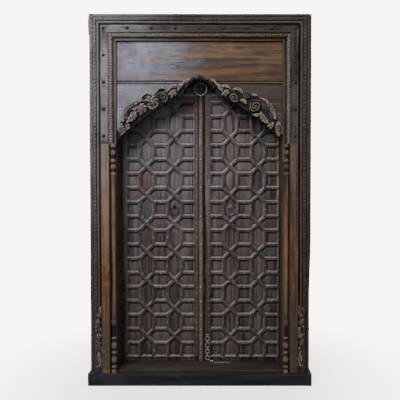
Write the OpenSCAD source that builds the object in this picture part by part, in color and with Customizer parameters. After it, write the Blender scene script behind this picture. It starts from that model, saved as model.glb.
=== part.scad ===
// Double-leaf carved door in a deep timber frame.
// Millimetres. X across, Y back (the carved side faces -Y), Z up.
// The origin is on the floor, in the middle of the sill beam.

/* [Overall] */
// Height from the floor to the top of the head beam
door_h = 2420; // [2000:10:3000]
// Width across the two posts
frame_w = 1434; // [1250:2:1800]
// Depth of the sill beam, front to back
sill_d = 310; // [300:2:380]

/* [Frame] */
// How far the sill beam runs past each post
sill_out = 14; // [4:1:40]
// Height of the sill beam
sill_h = 80; // [60:1:110]
// Thickness of the board on top of the sill
threshold_t = 8; // [4:1:12]
// Width of each post
post_w = 173; // [160:1:210]
// Width of the lip on each post that the leaves close against
lip_w = 31; // [29:1:40]
// Height of the head beam
head_h = 170; // [150:1:220]
// Height of the lintel, from its soffit to the head beam
lintel_h = 240; // [200:1:300]
// Height of the rebate behind the lintel that hides the top of the leaves
rebate_h = 44; // [30:1:60]
// Front of the posts, measured back from the front of the sill
post_setback = 45; // [45:1:60]

/* [Mouldings] */
// Thickness of the facings and mouldings nailed to the front
facing_t = 35; // [24:1:35]
// Width of the outer carved moulding
outer_w = 76; // [60:1:80]
// Width of the flat band that carries the dome nails
band_w = 50; // [40:1:60]
// Width of the rope moulding with its cove
rope_w = 48; // [36:1:50]
// Radius of a dome nail's head
nail_r = 9; // [6:0.5:12]
// Number of dome nails across the head
head_nails = 9; // [5:2:13]
// Number of dome nails down each side, with the corner
side_nails = 5; // [3:1:6]

/* [Arch] */
// Height of the arch's springing
spring_z = 1590; // [1300:10:1700]
// Radius of the round lobe at the top of the arch
lobe_r = 100; // [70:1:120]
// How far each arm of the arch bows upward
arch_bow = 25; // [0:1:60]
// Width of the carved band along the arch
carving_w = 104; // [60:1:120]
// Thickness of the boards above the arch
board_t = 30; // [20:1:35]
// Height of the batten across the boards
batten_h = 25; // [15:1:40]

/* [Columns] */
// Greatest radius of a column
column_r = 18; // [14:0.5:18]
// Width of a floral pilaster
pilaster_w = 46; // [36:1:46]
// Height of a floral pilaster above the sill
pilaster_h = 453; // [420:1:600]

/* [Leaves] */
// Running gap round each leaf
leaf_gap = 4; // [3:0.5:6]
// Gap between the two leaves
meeting_gap = 6; // [6:0.5:10]
// Thickness of the vertical boards
plank_t = 30; // [24:1:36]
// Thickness of the ledges and stiles at the back
ledge_t = 25; // [20:1:30]
// Height of a ledge
ledge_h = 90; // [60:1:120]
// Number of ledges on each leaf
ledges = 5; // [3:1:6]
// Width of a pivot stile from the pivot's centre to its inner edge
stile_w = 27.5; // [27.5:0.5:40]
// Radius of a pivot pin
pin_r = 14; // [10:0.5:18]
// Length of a pivot pin
pin_l = 28; // [20:1:34]
// Radial clearance of a pivot pin in its socket
pin_fit = 0.08; // [0.02:0.01:0.1]

/* [Lattice] */
// Columns of the lattice on each leaf
lattice_cols = 5; // [3:2:7]
// Rows of the lattice on each leaf
lattice_rows = 18; // [12:2:22]
// Width of a lattice bar
bar_w = 22; // [14:1:26]
// Thickness of the lattice
bar_t = 15; // [8:1:18]
// Height of the plain foot under the lattice
foot_h = 28; // [20:1:60]
// Distance from the lintel's soffit down to the top of the lattice
top_gap = 127; // [90:1:160]
// Width of the half-round strip that covers the meeting edge
astragal_w = 45; // [36:1:50]
// Depth of the half-round strip
astragal_t = 30; // [20:1:32]
// Radius of a boss on the half-round strip
boss_r = 8; // [5:0.5:9]

/* [Rings and chain] */
// Centreline radius of a ring pull
pull_r = 27; // [20:0.5:32]
// Wire radius of a ring pull
pull_wire = 3; // [2:0.25:3.25]
// Centreline radius of the ring under the lintel
lintel_ring_r = 41; // [30:1:42]
// Wire radius of the ring under the lintel
lintel_ring_wire = 3.75; // [3:0.25:3.75]
// Wire radius of the chain
chain_wire = 2.4; // [2:0.1:2.6]
// Centreline radius of a chain link's wide loop
chain_loop_r = 15; // [12:0.5:18]
// Distance from one chain link to the next
chain_pitch = 44; // [40:1:48]
// Number of links in the chain
chain_links = 4; // [4:1:4]

/* [Hidden] */
$fn = 48;

teak_dark = "#4a3d35";
teak_brown = "#6b4a33";
teak_grey = "#7f7a78";
sill_black = "#26242a";
iron = "#2a282b";

half_w = frame_w / 2;
opening = half_w - post_w;             // half the clear width between the posts
sill_front = -sill_d / 2;
back_y = sill_d / 2;
post_front = sill_front + post_setback;
face_y = post_front - facing_t;        // front plane of the mouldings
head_z = door_h - head_h;
soffit_z = head_z - lintel_h;
threshold_z = sill_h + threshold_t;

// leaves, from front to back
leaf_back = back_y - 5;
ledge_y = leaf_back - ledge_t;         // back of the boards
plank_y = ledge_y - plank_t;           // front of the boards
lip_back = plank_y - 2;                // back of the post's lip
lattice_y = plank_y - bar_t;
heel_r = (leaf_back - plank_y) / 2;
pivot_y = (leaf_back + plank_y) / 2;
pivot_x = opening + lip_w - heel_r - 2;
leaf_z = sill_h + leaf_gap;
leaf_top = soffit_z + rebate_h - leaf_gap;
meeting_left = 20;                     // edge of the left leaf
meeting_right = meeting_left + meeting_gap;
stile_in = pivot_x - stile_w;
socket_l = pin_l + leaf_gap + 6;

// lattice field: as wide on both leaves
rib_w = 15;                            // stud strip beside the meeting edge
edge_w = 16;                           // plain edge of the right leaf
edge_clear = 2;                        // between the leaf's face pieces and the post
right_field_0 = meeting_right + edge_w + rib_w;
field_w = opening - edge_clear - 1.5 - right_field_0;
left_field_1 = meeting_left - astragal_w - rib_w;
field_0 = threshold_z + foot_h - 4;
field_h = soffit_z - top_gap - field_0;
cell_w = field_w / lattice_cols;
cell_h = field_h / lattice_rows;
strip_t = 11;
top_moulding_h = 60;

// arch
lobe_z = soffit_z - 5 - lobe_r;
arch_steps = 14;
batten_z = soffit_z - 36;
transom_z = batten_z + batten_h;

// ring pulls sit on a vertical hexagon of each lattice
pull_row = 10;
pull_z = field_0 + (pull_row + 0.5) * cell_h + 17;
pull_eye_r = 7;
pull_eye_wire = 2.3;
pull_y = lattice_y - 1;
left_pull_x = left_field_1 - 1.5 * cell_w;
right_pull_x = right_field_0 + 1.5 * cell_w;

// ring under the lintel
lintel_eye_r = 7;
lintel_eye_wire = 2.6;
lintel_ring_y = -10;
lintel_eye_z = soffit_z - 12;

// chain on the right leaf
chain_x = meeting_right + edge_w;
chain_y = plank_y - 23;
chain_eye_r = 6.6;
chain_z = threshold_z + 7 + chain_links * chain_pitch + chain_wire;
hang = 0.3;                            // gap at the crown of a hanging eye

// points of an arc from p to q that bows to its left by b
function arc_points(p, q, b, n) = [
    for (i = [0:n])
        let (t = i / n, d = q - p, l = norm(d), s = 4 * b * t * (1 - t) / l)
            p + d * t + [-d[1], d[0]] * s
];

// half outline of the arch's edge, from the left springing to the crown
function arch_edge(grow = 0) = concat(
    arc_points([-opening, spring_z + grow], [-lobe_r - grow * 0.6, lobe_z + grow * 0.6],
               arch_bow, arch_steps),
    [for (i = [1:8]) [-(lobe_r + grow * 0.6) * cos(90 * i / 8),
                      lobe_z + grow * 0.6 + (lobe_r + grow * 0.4) * sin(90 * i / 8)]]
);

// a bulb between z0 and z1 that swells from r0 to r1
function bulb(z0, z1, r0, r1, n = 6) = [
    for (i = [0:n]) [r0 + (r1 - r0) * sin(180 * i / n), z0 + (z1 - z0) * i / n]
];

// ---------- helpers ----------

// a straight-sided block given by its two corners
module block(a, b) {
    translate(a) cube(b - a);
}

// a plate drawn in X and Z, between two depths
module plate(y0, y1) {
    translate([0, y1, 0]) rotate([90, 0, 0]) linear_extrude(y1 - y0) children();
}

module torus(r, wire) {
    rotate_extrude() translate([r, 0]) circle(wire, $fn = 24);
}

module mirrored(side) {
    if (side > 0) children();
    else mirror([1, 0, 0]) children();
}

// a domed head on a face that looks along -Y, with a shank into the wood where it has one
module dome(r, rise, shank_r = 0, shank_l = 0) {
    ball = (r * r + rise * rise) / (2 * rise);
    rotate([90, 0, 0]) rotate_extrude() {
        intersection() {
            translate([0, rise - ball]) circle(ball);
            square([r, rise]);
        }
        if (shank_l > 0) translate([0, -shank_l]) square([shank_r, shank_l + rise / 2]);
    }
}

// right-hand moulding strip between two offsets from the frame's edge, mitred at its top
module side_strip(in0, in1, depth, z0) {
    plate(post_front - depth, post_front)
        polygon([[half_w - in1, z0], [half_w - in0, z0],
                 [half_w - in0, door_h - in0], [half_w - in1, door_h - in1]]);
}

// head moulding strip between two offsets from the frame's edge, mitred at both ends
module head_strip(in0, in1, depth) {
    plate(post_front - depth, post_front)
        polygon([[-half_w + in0, door_h - in0], [-half_w + in1, door_h - in1],
                 [half_w - in1, door_h - in1], [half_w - in0, door_h - in0]]);
}

// offset and depth of each step of the outer carved moulding: edge, carving, fillet, groove
outer_steps = [[0, 24, facing_t - 9], [24, 48, facing_t], [48, outer_w - 10, facing_t - 6],
               [outer_w - 10, outer_w, facing_t - 20]];
band_in = outer_w + band_w;
rope_in = band_in + rope_w;
rope_bead = rope_w / 2;
nail_line = outer_w + band_w * 0.4;
nail_shank_r = 3;
nail_step = (frame_w - 2 * nail_line) / (head_nails - 1);
side_step = (door_h - nail_line - spring_z - 40) / (side_nails - 1);

function head_nail_points() = [
    for (i = [0:head_nails - 1]) [-half_w + nail_line + i * nail_step, door_h - nail_line]
];
function side_nail_points(first = 1) = [
    for (i = [first:side_nails - 1]) [half_w - nail_line, door_h - nail_line - i * side_step]
];

module nail_holes(points) {
    for (p = points)
        translate([p[0], face_y - 1, p[1]]) rotate([-90, 0, 0])
            cylinder(h = facing_t - 5, r = nail_shank_r + 0.05);
}

// ---------- frame ----------

module pivot_sockets(z, h) {
    for (s = [-1, 1])
        translate([s * pivot_x, pivot_y, z]) cylinder(h = h, r = pin_r + pin_fit);
}

module sill_beam() {
    color(sill_black) difference() {
        block([-half_w - sill_out, sill_front, 0], [half_w + sill_out, back_y, sill_h]);
        pivot_sockets(sill_h - socket_l, socket_l + 1);
        translate([bolt_x, sill_front - 1, bolt_z]) rotate([-90, 0, 0]) {
            cylinder(h = bolt_l + bolt_head_h + 2, r = bolt_r + 0.05);
            cylinder(h = bolt_head_h + 1, r = bolt_head_r + 0.4);
        }
    }
}

module threshold_board() {
    color(teak_dark)
        block([-opening, post_front, sill_h], [opening, lip_back, threshold_z]);
}

module post(side) {
    color(teak_brown) mirrored(side) difference() {
        block([opening, post_front, sill_h], [half_w, back_y, head_z]);
        block([opening - 1, lip_back, sill_h - 1], [opening + lip_w, back_y + 1, head_z + 1]);
    }
}

module head_beam() {
    color(teak_dark) block([-half_w, post_front, head_z], [half_w, back_y, door_h]);
}

module lintel() {
    color(teak_dark) difference() {
        union() {
            block([-opening, post_front + board_t + 5, soffit_z], [opening, lip_back, head_z]);
            block([-opening - lip_w, lip_back - 1, soffit_z + rebate_h],
                  [opening + lip_w, back_y, head_z]);
        }
        block([opening, lip_back - 2, soffit_z], [opening + lip_w + 1, lip_back, head_z + 1]);
        block([-opening - lip_w - 1, lip_back - 2, soffit_z], [-opening, lip_back, head_z + 1]);
        pivot_sockets(soffit_z + rebate_h - 1, socket_l + 10);
    }
}

module side_outer_moulding(side) {
    color(teak_dark) mirrored(side) {
        difference() {
            union() {
                for (s = outer_steps) side_strip(s[0], s[1], s[2], sill_h);
            }
            block([half_w - outer_w - 1, sill_front - 1, sill_h - 1],
                  [half_w - outer_w + pilaster_w, post_front + 1, sill_h + pilaster_h]);
        }
    }
}

module top_outer_moulding() {
    color(teak_dark) for (s = outer_steps) head_strip(s[0], s[1], s[2]);
}

module side_nailed_band(side) {
    color(teak_grey) mirrored(side) difference() {
        side_strip(outer_w, band_in, facing_t, spring_z - 10);
        nail_holes(side_nail_points(0));
    }
}

module top_nailed_band() {
    color(teak_grey) difference() {
        head_strip(outer_w, band_in, facing_t);
        nail_holes(head_nail_points());
    }
}

module side_rope_moulding(side) {
    color(teak_brown) mirrored(side) {
        side_strip(band_in, band_in + rope_bead, facing_t - 3, spring_z - 10);
        side_strip(band_in + rope_bead, rope_in - 1, facing_t - 15, spring_z - 10);
    }
}

module top_rope_moulding() {
    color(teak_brown) {
        head_strip(band_in, band_in + rope_bead, facing_t - 3);
        head_strip(band_in + rope_bead, rope_in - 1, facing_t - 15);
    }
}

module frame_nails() {
    points = concat(head_nail_points(), side_nail_points(),
                    [for (p = side_nail_points()) [-p[0], p[1]]]);
    color(iron) for (p = points)
        translate([p[0], face_y, p[1]]) dome(nail_r, nail_r * 0.6, nail_shank_r, facing_t - 8);
}

// ---------- head panel and arch ----------

board_front = post_front + 5;
board_back = board_front + board_t;

module transom_board() {
    color(teak_grey) block([-opening, board_front, transom_z], [opening, board_back, head_z]);
}

module batten_half(side) {
    end = sqrt(pow(lobe_r, 2) - pow(batten_z - lobe_z, 2)) + 14;
    mirrored(side)
        block([end, board_front - 12, batten_z], [opening, board_back, transom_z]);
}

module transom_batten() {
    color(teak_dark) {
        batten_half(1);
        batten_half(-1);
    }
}

seam_w = 0.8;
seam_left = spring_z + 228;
seam_right = spring_z + 282;

// boards between the arch's edge and the batten, the lower one cut at the seam
module spandrel_boards(side, seam) {
    edge = [for (p = arch_edge(12)) if (p[1] < batten_z) p];
    color(teak_grey) mirrored(-side) for (cut = [[spring_z, seam - seam_w], [seam, batten_z]])
        intersection() {
            plate(board_front, board_back)
                polygon(concat(edge, [[-lobe_r * 0.6, batten_z], [-opening, batten_z]]));
            block([-opening - 1, board_front - 1, cut[0]], [0, board_back + 1, cut[1]]);
        }
}

// carved band that follows the arch, with leaf bosses standing on it
module arch_carving(side) {
    lower = [for (p = arch_edge()) if (p[1] < batten_z) p];
    outer_0 = [-opening, spring_z + carving_w];
    outer_1 = [-lobe_r - 30, batten_z - 12];
    upper = arc_points(outer_0, outer_1, arch_bow + 30, arch_steps);
    last = len(upper) - 1;
    color(teak_grey) mirrored(-side) {
        plate(board_front - 22, board_front)
            polygon(concat(lower, [for (i = [0:last]) upper[last - i]]));
        for (t = [0.18, 0.36, 0.54, 0.72])
            let (a = lower[round(t * arch_steps)], b = upper[round(t * arch_steps)])
                translate([(a[0] + b[0]) / 2, board_front - 22, (a[1] + b[1]) / 2])
                    dome(carving_w * 0.34, 14);
    }
}

// ---------- facings, columns and pilasters ----------

module jamb_facing(side) {
    color(teak_brown) mirrored(side)
        block([opening + 2 * column_r + 8, face_y, sill_h],
              [half_w - outer_w, post_front, spring_z - 10]);
}

column_x = opening + column_r + 1;
column_y = post_front - column_r - 0.3;
column_top = spring_z - 10;
column_neck = column_r - 3;

// turned profile, from the foot on the sill up to the block under the rope moulding
column_profile = concat(
    [[0, sill_h], [column_r, sill_h], [column_r, sill_h + 24], [column_neck, sill_h + 26]],
    bulb(sill_h + 32, sill_h + 50, column_neck, column_r, 4),
    bulb(sill_h + 56, sill_h + 124, column_neck - 5, column_r),
    bulb(sill_h + 128, sill_h + 144, column_neck, column_r, 4),
    bulb(sill_h + 148, sill_h + 216, column_neck - 5, column_r),
    bulb(sill_h + 222, sill_h + 240, column_neck - 4, column_r, 4),
    [[column_neck - 4, sill_h + 250], [column_neck - 2, sill_h + 312]],
    bulb(sill_h + 322, sill_h + 356, column_neck, column_r, 4),
    [[column_neck, sill_h + 372], [column_neck, column_top - 212]],
    bulb(column_top - 206, column_top - 190, column_neck, column_r, 4),
    [[column_neck - 3, column_top - 176]],
    bulb(column_top - 170, column_top - 130, column_neck - 3, column_r),
    bulb(column_top - 124, column_top - 96, column_neck - 3, column_r, 4),
    bulb(column_top - 80, column_top - 34, column_neck - 4, column_r),
    [[column_neck, column_top - 24], [column_r, column_top - 22], [column_r, column_top],
     [0, column_top]]
);

module column(side) {
    color(teak_grey) mirrored(side) translate([column_x, column_y, 0])
        rotate_extrude() polygon(column_profile);
}

module floral_pilaster(side) {
    r = pilaster_w / 2 - 3;
    x = half_w - outer_w + pilaster_w / 2;
    y = post_front - r;
    block_z = sill_h + 212;
    profile = concat([[0, sill_h + 40], [r - 5, sill_h + 40]],
                     bulb(sill_h + 46, sill_h + 112, r - 6, r - 1),
                     bulb(sill_h + 118, sill_h + 134, r - 4, r - 1, 4),
                     bulb(sill_h + 140, block_z - 4, r - 6, r - 1),
                     [[r - 6, block_z + 2], [0, block_z + 2]]);
    color(teak_dark) mirrored(side) union() {
        translate([x, y, 0]) rotate_extrude() polygon(profile);
        block([x - pilaster_w / 2, face_y - 5, sill_h], [x + pilaster_w / 2, post_front, sill_h + 44]);
        block([x - pilaster_w / 2, face_y - 5, block_z],
              [x + pilaster_w / 2, post_front, sill_h + pilaster_h]);
        block([x - pilaster_w / 2, post_front - 8, sill_h + 1],
              [x + pilaster_w / 2, post_front, block_z + 1]);
    }
}

// ---------- ironwork of the frame ----------

bolt_x = 35;
bolt_z = sill_h / 2;
bolt_r = 6;
bolt_l = 40;
bolt_head_r = 11;
bolt_head_h = 4;
strap_x = chain_x + 30;
strap_y = 45;

module sill_bolt() {
    color(iron) translate([bolt_x, sill_front + bolt_head_h, bolt_z])
        dome(bolt_head_r, bolt_head_h, bolt_r, bolt_l);
}

module threshold_strap() {
    color(iron) block([strap_x + 20, strap_y - 9, threshold_z],
                      [strap_x + 130, strap_y + 9, threshold_z + 4]);
}

module threshold_staple() {
    color(iron) translate([strap_x, strap_y, threshold_z]) {
        for (s = [-1, 1]) translate([s * 9, 0, 0]) cylinder(h = 14, r = 2.4);
        translate([-11, 0, 14]) rotate([0, 90, 0]) cylinder(h = 22, r = 2.8);
    }
}

// ring hanging in a vertical eye, both drawn from the eye's centre
function hung_drop(eye_r, eye_wire, wire) = eye_r - eye_wire - wire - hang;

module hung_ring(eye_r, eye_wire, r, wire) {
    translate([0, 0, -hung_drop(eye_r, eye_wire, wire) - r]) rotate([90, 0, 0]) torus(r, wire);
}

module lintel_ring_eye() {
    color(iron) translate([0, lintel_ring_y, lintel_eye_z]) {
        rotate([0, 90, 0]) torus(lintel_eye_r, lintel_eye_wire);
        translate([0, 0, lintel_eye_r]) cylinder(h = soffit_z - lintel_eye_z - lintel_eye_r, r = 2.2);
        translate([0, 0, soffit_z - lintel_eye_z - 2]) cylinder(h = 2, r = 9);
    }
}

module lintel_ring() {
    color(iron) translate([0, lintel_ring_y, lintel_eye_z])
        hung_ring(lintel_eye_r, lintel_eye_wire, lintel_ring_r, lintel_ring_wire);
}

// ---------- leaves ----------

module pivot_stile(side) {
    heel = [for (i = [0:16]) let (a = -90 + 180 * i / 16) [heel_r * cos(a), heel_r * sin(a)]];
    color(teak_dark) mirrored(side) translate([pivot_x, pivot_y, 0]) {
        translate([0, 0, leaf_z]) linear_extrude(leaf_top - leaf_z)
            polygon(concat(heel, [[-stile_w, heel_r], [-stile_w, -heel_r]]));
        translate([0, 0, leaf_z - pin_l]) cylinder(h = pin_l + 1, r = pin_r);
        translate([0, 0, leaf_top - 1]) cylinder(h = pin_l + 1, r = pin_r);
    }
}

// vertical boards, shrunk a little apart at their seams
module boards(x0, x1, n) {
    w = (x1 - x0 + seam_w) / n;
    color(teak_dark) for (i = [0:n - 1])
        block([x0 + i * w, plank_y, leaf_z], [x0 + (i + 1) * w - seam_w, ledge_y, leaf_top]);
}

module ledge_set(x0, x1) {
    step = (leaf_top - leaf_z - ledge_h - 160) / (ledges - 1);
    color(teak_brown) for (i = [0:ledges - 1])
        block([x0, ledge_y, leaf_z + 80 + i * step], [x1, leaf_back, leaf_z + 80 + i * step + ledge_h]);
}

meeting_stile_w = 65;

module meeting_stile(x0) {
    color(teak_brown) block([x0, ledge_y, leaf_z], [x0 + meeting_stile_w, leaf_back, leaf_top]);
}

// half size of a cell's opening along and across its long axis
function hexagon(a, b, w) =
    let (l = norm([a, b]), tip = 2 * b - w * l / a, shoulder = tip - b / a * (a - w))
        [[0, tip], [a - w, shoulder], [a - w, -shoulder], [0, -tip], [w - a, -shoulder],
         [w - a, shoulder]];

function swapped(points) = [for (p = points) [p[1], p[0]]];

module lattice_cell(c, r) {
    translate([(c + 0.5) * cell_w, (r + 0.5) * cell_h]) polygon(cell_outline(c, r));
}

function cell_outline(c, r) =
    let (a = cell_w / 2, b = cell_h / 2, w = bar_w / 2)
        c % 2 == 0 && r % 2 == 0 ? [[a - w, b - w], [a - w, w - b], [w - a, w - b], [w - a, b - w]]
        : c % 2 == 1 ? hexagon(a, b, w)
        : swapped(hexagon(b, a, w));

// openwork of squares and long hexagons, drawn from the field's lower left corner
module lattice(x0) {
    color(teak_grey) translate([x0, 0, field_0]) plate(lattice_y, plank_y) difference() {
        square([field_w, field_h]);
        intersection() {
            translate([bar_w / 2, bar_w / 2]) square([field_w - bar_w, field_h - bar_w]);
            union() for (c = [0:lattice_cols - 1], r = [0:lattice_rows])
                if (c % 2 == 0 || r % 2 == 0) lattice_cell(c, r);
        }
    }
}

// small nails in the middle of each upright and level bar
module lattice_nails(x0) {
    upright = [for (c = [1:lattice_cols - 1], r = [0:2:lattice_rows - 1])
        [c * cell_w, (r + 0.5) * cell_h]];
    level = [for (c = [0:2:lattice_cols - 1], r = [1:lattice_rows - 1])
        [(c + 0.5) * cell_w, r * cell_h]];
    color(iron) for (p = concat(upright, level))
        translate([x0 + p[0], lattice_y, field_0 + p[1]]) dome(4, 2.4);
}

module stud_strips(spans) {
    color(teak_grey) for (s = spans)
        block([s[0], plank_y - strip_t, field_0], [s[1], plank_y, field_0 + field_h]);
}

module top_moulding(x0, x1) {
    color(teak_grey) block([x0, plank_y - strip_t, field_0 + field_h],
                           [x1, plank_y, field_0 + field_h + top_moulding_h]);
}

astragal_x = meeting_left - astragal_w / 2;
astragal_flat = 2 * boss_r + 1;
astragal_z1 = field_0 + field_h + 52;

// half-round strip with a narrow flat on its crown
module astragal() {
    a = astragal_w / 2;
    f = astragal_flat / 2;
    side = [for (i = [0:6]) let (t = 90 * i / 6)
        [f + (a - f) * cos(t), -8 - (astragal_t - 8) * sin(t)]];
    color(teak_brown) translate([astragal_x, plank_y, leaf_z + 6])
        linear_extrude(astragal_z1 - leaf_z - 6)
            polygon(concat([[a, 0]], side, [for (i = [6:-1:0]) [-side[i][0], side[i][1]]],
                           [[-a, 0]]));
}

module astragal_bosses() {
    color(iron) for (i = [0:lattice_rows])
        translate([astragal_x, plank_y - astragal_t, field_0 + i * cell_h]) dome(boss_r, 6);
}

module pull_eye(x) {
    color(iron) translate([x, pull_y, pull_z]) {
        rotate([0, 90, 0]) torus(pull_eye_r, pull_eye_wire);
        translate([0, pull_eye_r, 0]) rotate([-90, 0, 0])
            cylinder(h = plank_y - pull_y - pull_eye_r, r = 2);
        translate([0, plank_y - pull_y - 2, 0]) rotate([-90, 0, 0]) cylinder(h = 2, r = 9);
    }
}

module pull_ring(x) {
    color(iron) translate([x, pull_y, pull_z])
        hung_ring(pull_eye_r, pull_eye_wire, pull_r, pull_wire);
}

// ---------- chain ----------

module chain_staple() {
    color(iron) translate([chain_x, chain_y, chain_z]) {
        translate([-12, 0, 0]) rotate([0, 90, 0]) cylinder(h = 24, r = chain_wire);
        translate([-9, 0, 0]) rotate([-90, 0, 0]) cylinder(h = plank_y - chain_y, r = 2);
        translate([9, 0, 0]) rotate([-90, 0, 0]) cylinder(h = plank_y - strip_t - chain_y, r = 2);
    }
}

// one forged link: a small eye on top, a neck and a wide loop below
module chain_link(i) {
    eye_z = -hung_drop(chain_eye_r, chain_wire, chain_wire);
    loop_z = chain_loop_r - chain_pitch;
    color(iron) translate([chain_x, chain_y, chain_z - (i - 1) * chain_pitch]) {
        translate([0, 0, eye_z]) rotate([0, 90, 0]) torus(chain_eye_r, chain_wire);
        translate([0, 0, loop_z + chain_loop_r])
            cylinder(h = eye_z - chain_eye_r - loop_z - chain_loop_r, r = chain_wire - 0.3);
        translate([0, 0, loop_z]) rotate([90, 0, 0]) torus(chain_loop_r, chain_wire);
    }
}

// ---------- whole door ----------

left_field_0 = left_field_1 - field_w;
left_strips = [[-opening + edge_clear, left_field_0], [left_field_1, left_field_1 + rib_w]];
right_strips = [[right_field_0 - rib_w, right_field_0]];

sill_beam();
threshold_board();
post(-1);  // left_post
post(1);  // right_post
head_beam();
lintel();
side_outer_moulding(-1);  // left_outer_moulding
side_outer_moulding(1);  // right_outer_moulding
top_outer_moulding();
side_nailed_band(-1);  // left_nailed_band
side_nailed_band(1);  // right_nailed_band
top_nailed_band();
side_rope_moulding(-1);  // left_rope_moulding
side_rope_moulding(1);  // right_rope_moulding
top_rope_moulding();
frame_nails();
transom_board();
transom_batten();
spandrel_boards(-1, seam_left);  // left_spandrel_boards
spandrel_boards(1, seam_right);  // right_spandrel_boards
arch_carving(-1);  // left_arch_carving
arch_carving(1);  // right_arch_carving
jamb_facing(-1);  // left_jamb_facing
jamb_facing(1);  // right_jamb_facing
column(-1);  // left_column
column(1);  // right_column
floral_pilaster(-1);  // left_floral_pilaster
floral_pilaster(1);  // right_floral_pilaster
threshold_strap();
threshold_staple();
sill_bolt();
lintel_ring_eye();
lintel_ring();
pivot_stile(-1);  // left_pivot_stile
boards(-stile_in, meeting_left, 4);  // left_boards
ledge_set(-stile_in, meeting_left - meeting_stile_w);  // left_ledges
meeting_stile(meeting_left - meeting_stile_w);  // left_meeting_stile
lattice(left_field_0);  // left_lattice
lattice_nails(left_field_0);  // left_lattice_nails
stud_strips(left_strips);  // left_stud_strips
top_moulding(-opening + edge_clear, meeting_left - astragal_w);  // left_top_moulding
astragal();
astragal_bosses();
pull_eye(left_pull_x);  // left_ring_eye
pull_ring(left_pull_x);  // left_ring
pivot_stile(1);  // right_pivot_stile
boards(meeting_right, stile_in, 4);  // right_boards
ledge_set(meeting_right + meeting_stile_w, stile_in);  // right_ledges
meeting_stile(meeting_right);  // right_meeting_stile
lattice(right_field_0);  // right_lattice
lattice_nails(right_field_0);  // right_lattice_nails
stud_strips(right_strips);  // right_stud_strips
top_moulding(right_field_0 - rib_w, opening - edge_clear);  // right_top_moulding
pull_eye(right_pull_x);  // right_ring_eye
pull_ring(right_pull_x);  // right_ring
chain_staple();
chain_link(1);  // chain_link_1
chain_link(2);  // chain_link_2
chain_link(3);  // chain_link_3
chain_link(4);  // chain_link_4
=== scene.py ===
"""Carved double-leaf door: its woodwork, carving and ironwork, and the studio it stands in."""

import math

import bmesh
import bpy
import numpy as np
from mathutils import Matrix, Vector


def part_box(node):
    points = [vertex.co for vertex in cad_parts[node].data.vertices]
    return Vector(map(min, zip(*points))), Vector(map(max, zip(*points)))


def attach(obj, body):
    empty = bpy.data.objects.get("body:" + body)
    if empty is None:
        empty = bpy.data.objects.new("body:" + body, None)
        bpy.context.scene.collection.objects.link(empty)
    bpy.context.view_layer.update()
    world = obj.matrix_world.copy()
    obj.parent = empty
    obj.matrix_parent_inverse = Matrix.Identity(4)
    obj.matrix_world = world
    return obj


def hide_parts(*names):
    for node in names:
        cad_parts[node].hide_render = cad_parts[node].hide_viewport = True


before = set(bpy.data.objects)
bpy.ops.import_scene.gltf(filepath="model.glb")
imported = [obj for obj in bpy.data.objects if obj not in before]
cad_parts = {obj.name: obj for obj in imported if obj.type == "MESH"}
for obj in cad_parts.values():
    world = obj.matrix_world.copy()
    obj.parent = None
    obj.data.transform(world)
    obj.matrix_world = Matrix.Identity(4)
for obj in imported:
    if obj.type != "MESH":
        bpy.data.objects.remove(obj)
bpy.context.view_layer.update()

bl_info = {
    "name": "Carved Double Door",
    "version": (1, 0, 0),
    "blender": (4, 5, 0),
    "location": "3D View > Sidebar > Carved Door",
    "description": "Builds the carving, mouldings and ironwork of a framed double door",
    "category": "Add Mesh",
}

MM = 0.001
SIDES = (("left", -1), ("right", 1))


# ---------------------------------------------------------------- measures from the frame

def box_mm(node):
    """Lowest and highest corner of a CAD node, in millimetres."""
    low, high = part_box(node)
    return [v / MM for v in low], [v / MM for v in high]


def colour(hex_text):
    """Linear colour of an sRGB hex value."""
    parts = [int(hex_text[i : i + 2], 16) / 255 for i in (1, 3, 5)]
    return tuple(p / 12.92 if p <= 0.04045 else ((p + 0.055) / 1.055) ** 2.4 for p in parts)


post_low, post_high = box_mm("right_post")
EDGE = post_high[0]  # half the frame's width
TOP = box_mm("head_beam")[1][2]
POST_FRONT = post_low[1]
SILL_TOP = post_low[2]
OPENING = post_low[0]
band_low = box_mm("right_nailed_band")[0]
FACE = band_low[1]  # front plane of the mouldings
BAND_FOOT = band_low[2]
BOARD_FRONT = box_mm("transom_board")[0][1]
BATTEN_Z = box_mm("transom_batten")[0][2]
PLANK = box_mm("left_boards")[0][1]
CROWN_R = 88.0  # half the gap in the batten over the crown of the arch


# ---------------------------------------------------------------- meshes

def middle(low, high):
    """Middle of a box."""
    return [(a + b) / 2 for a, b in zip(low, high)]


def spread(first, last, n):
    """Even steps from first to last, both included."""
    return [first + (last - first) * k / n for k in range(n + 1)]


class Shape:
    """Points and faces of one mesh in millimetres, with painted wear, painted shade and tone."""

    def __init__(self):
        self.points, self.faces, self.wear, self.tone = [], [], [], []

    def skin(self, rings, wear=0.0, tone=0.0, loop=False):
        """Join rings of as many points into one skin; close its two ends, or join them too."""
        n, count, start = len(rings[0]), len(rings), len(self.points)
        self.points += [tuple(p) for ring in rings for p in ring]
        for r in range(count if loop else count - 1):
            a, b = start + r * n, start + (r + 1) % count * n
            self.faces += [[a + i, a + (i + 1) % n, b + (i + 1) % n, b + i] for i in range(n)]
        if not loop:
            self.faces.append([start + i for i in range(n)][::-1])
            self.faces.append([start + (count - 1) * n + i for i in range(n)])
        if not hasattr(wear, "__len__"):
            wear = [wear] * n
        self.wear += list(wear) * count if len(wear) == n else list(wear)
        self.tone += [tone] * (n * count)


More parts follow.
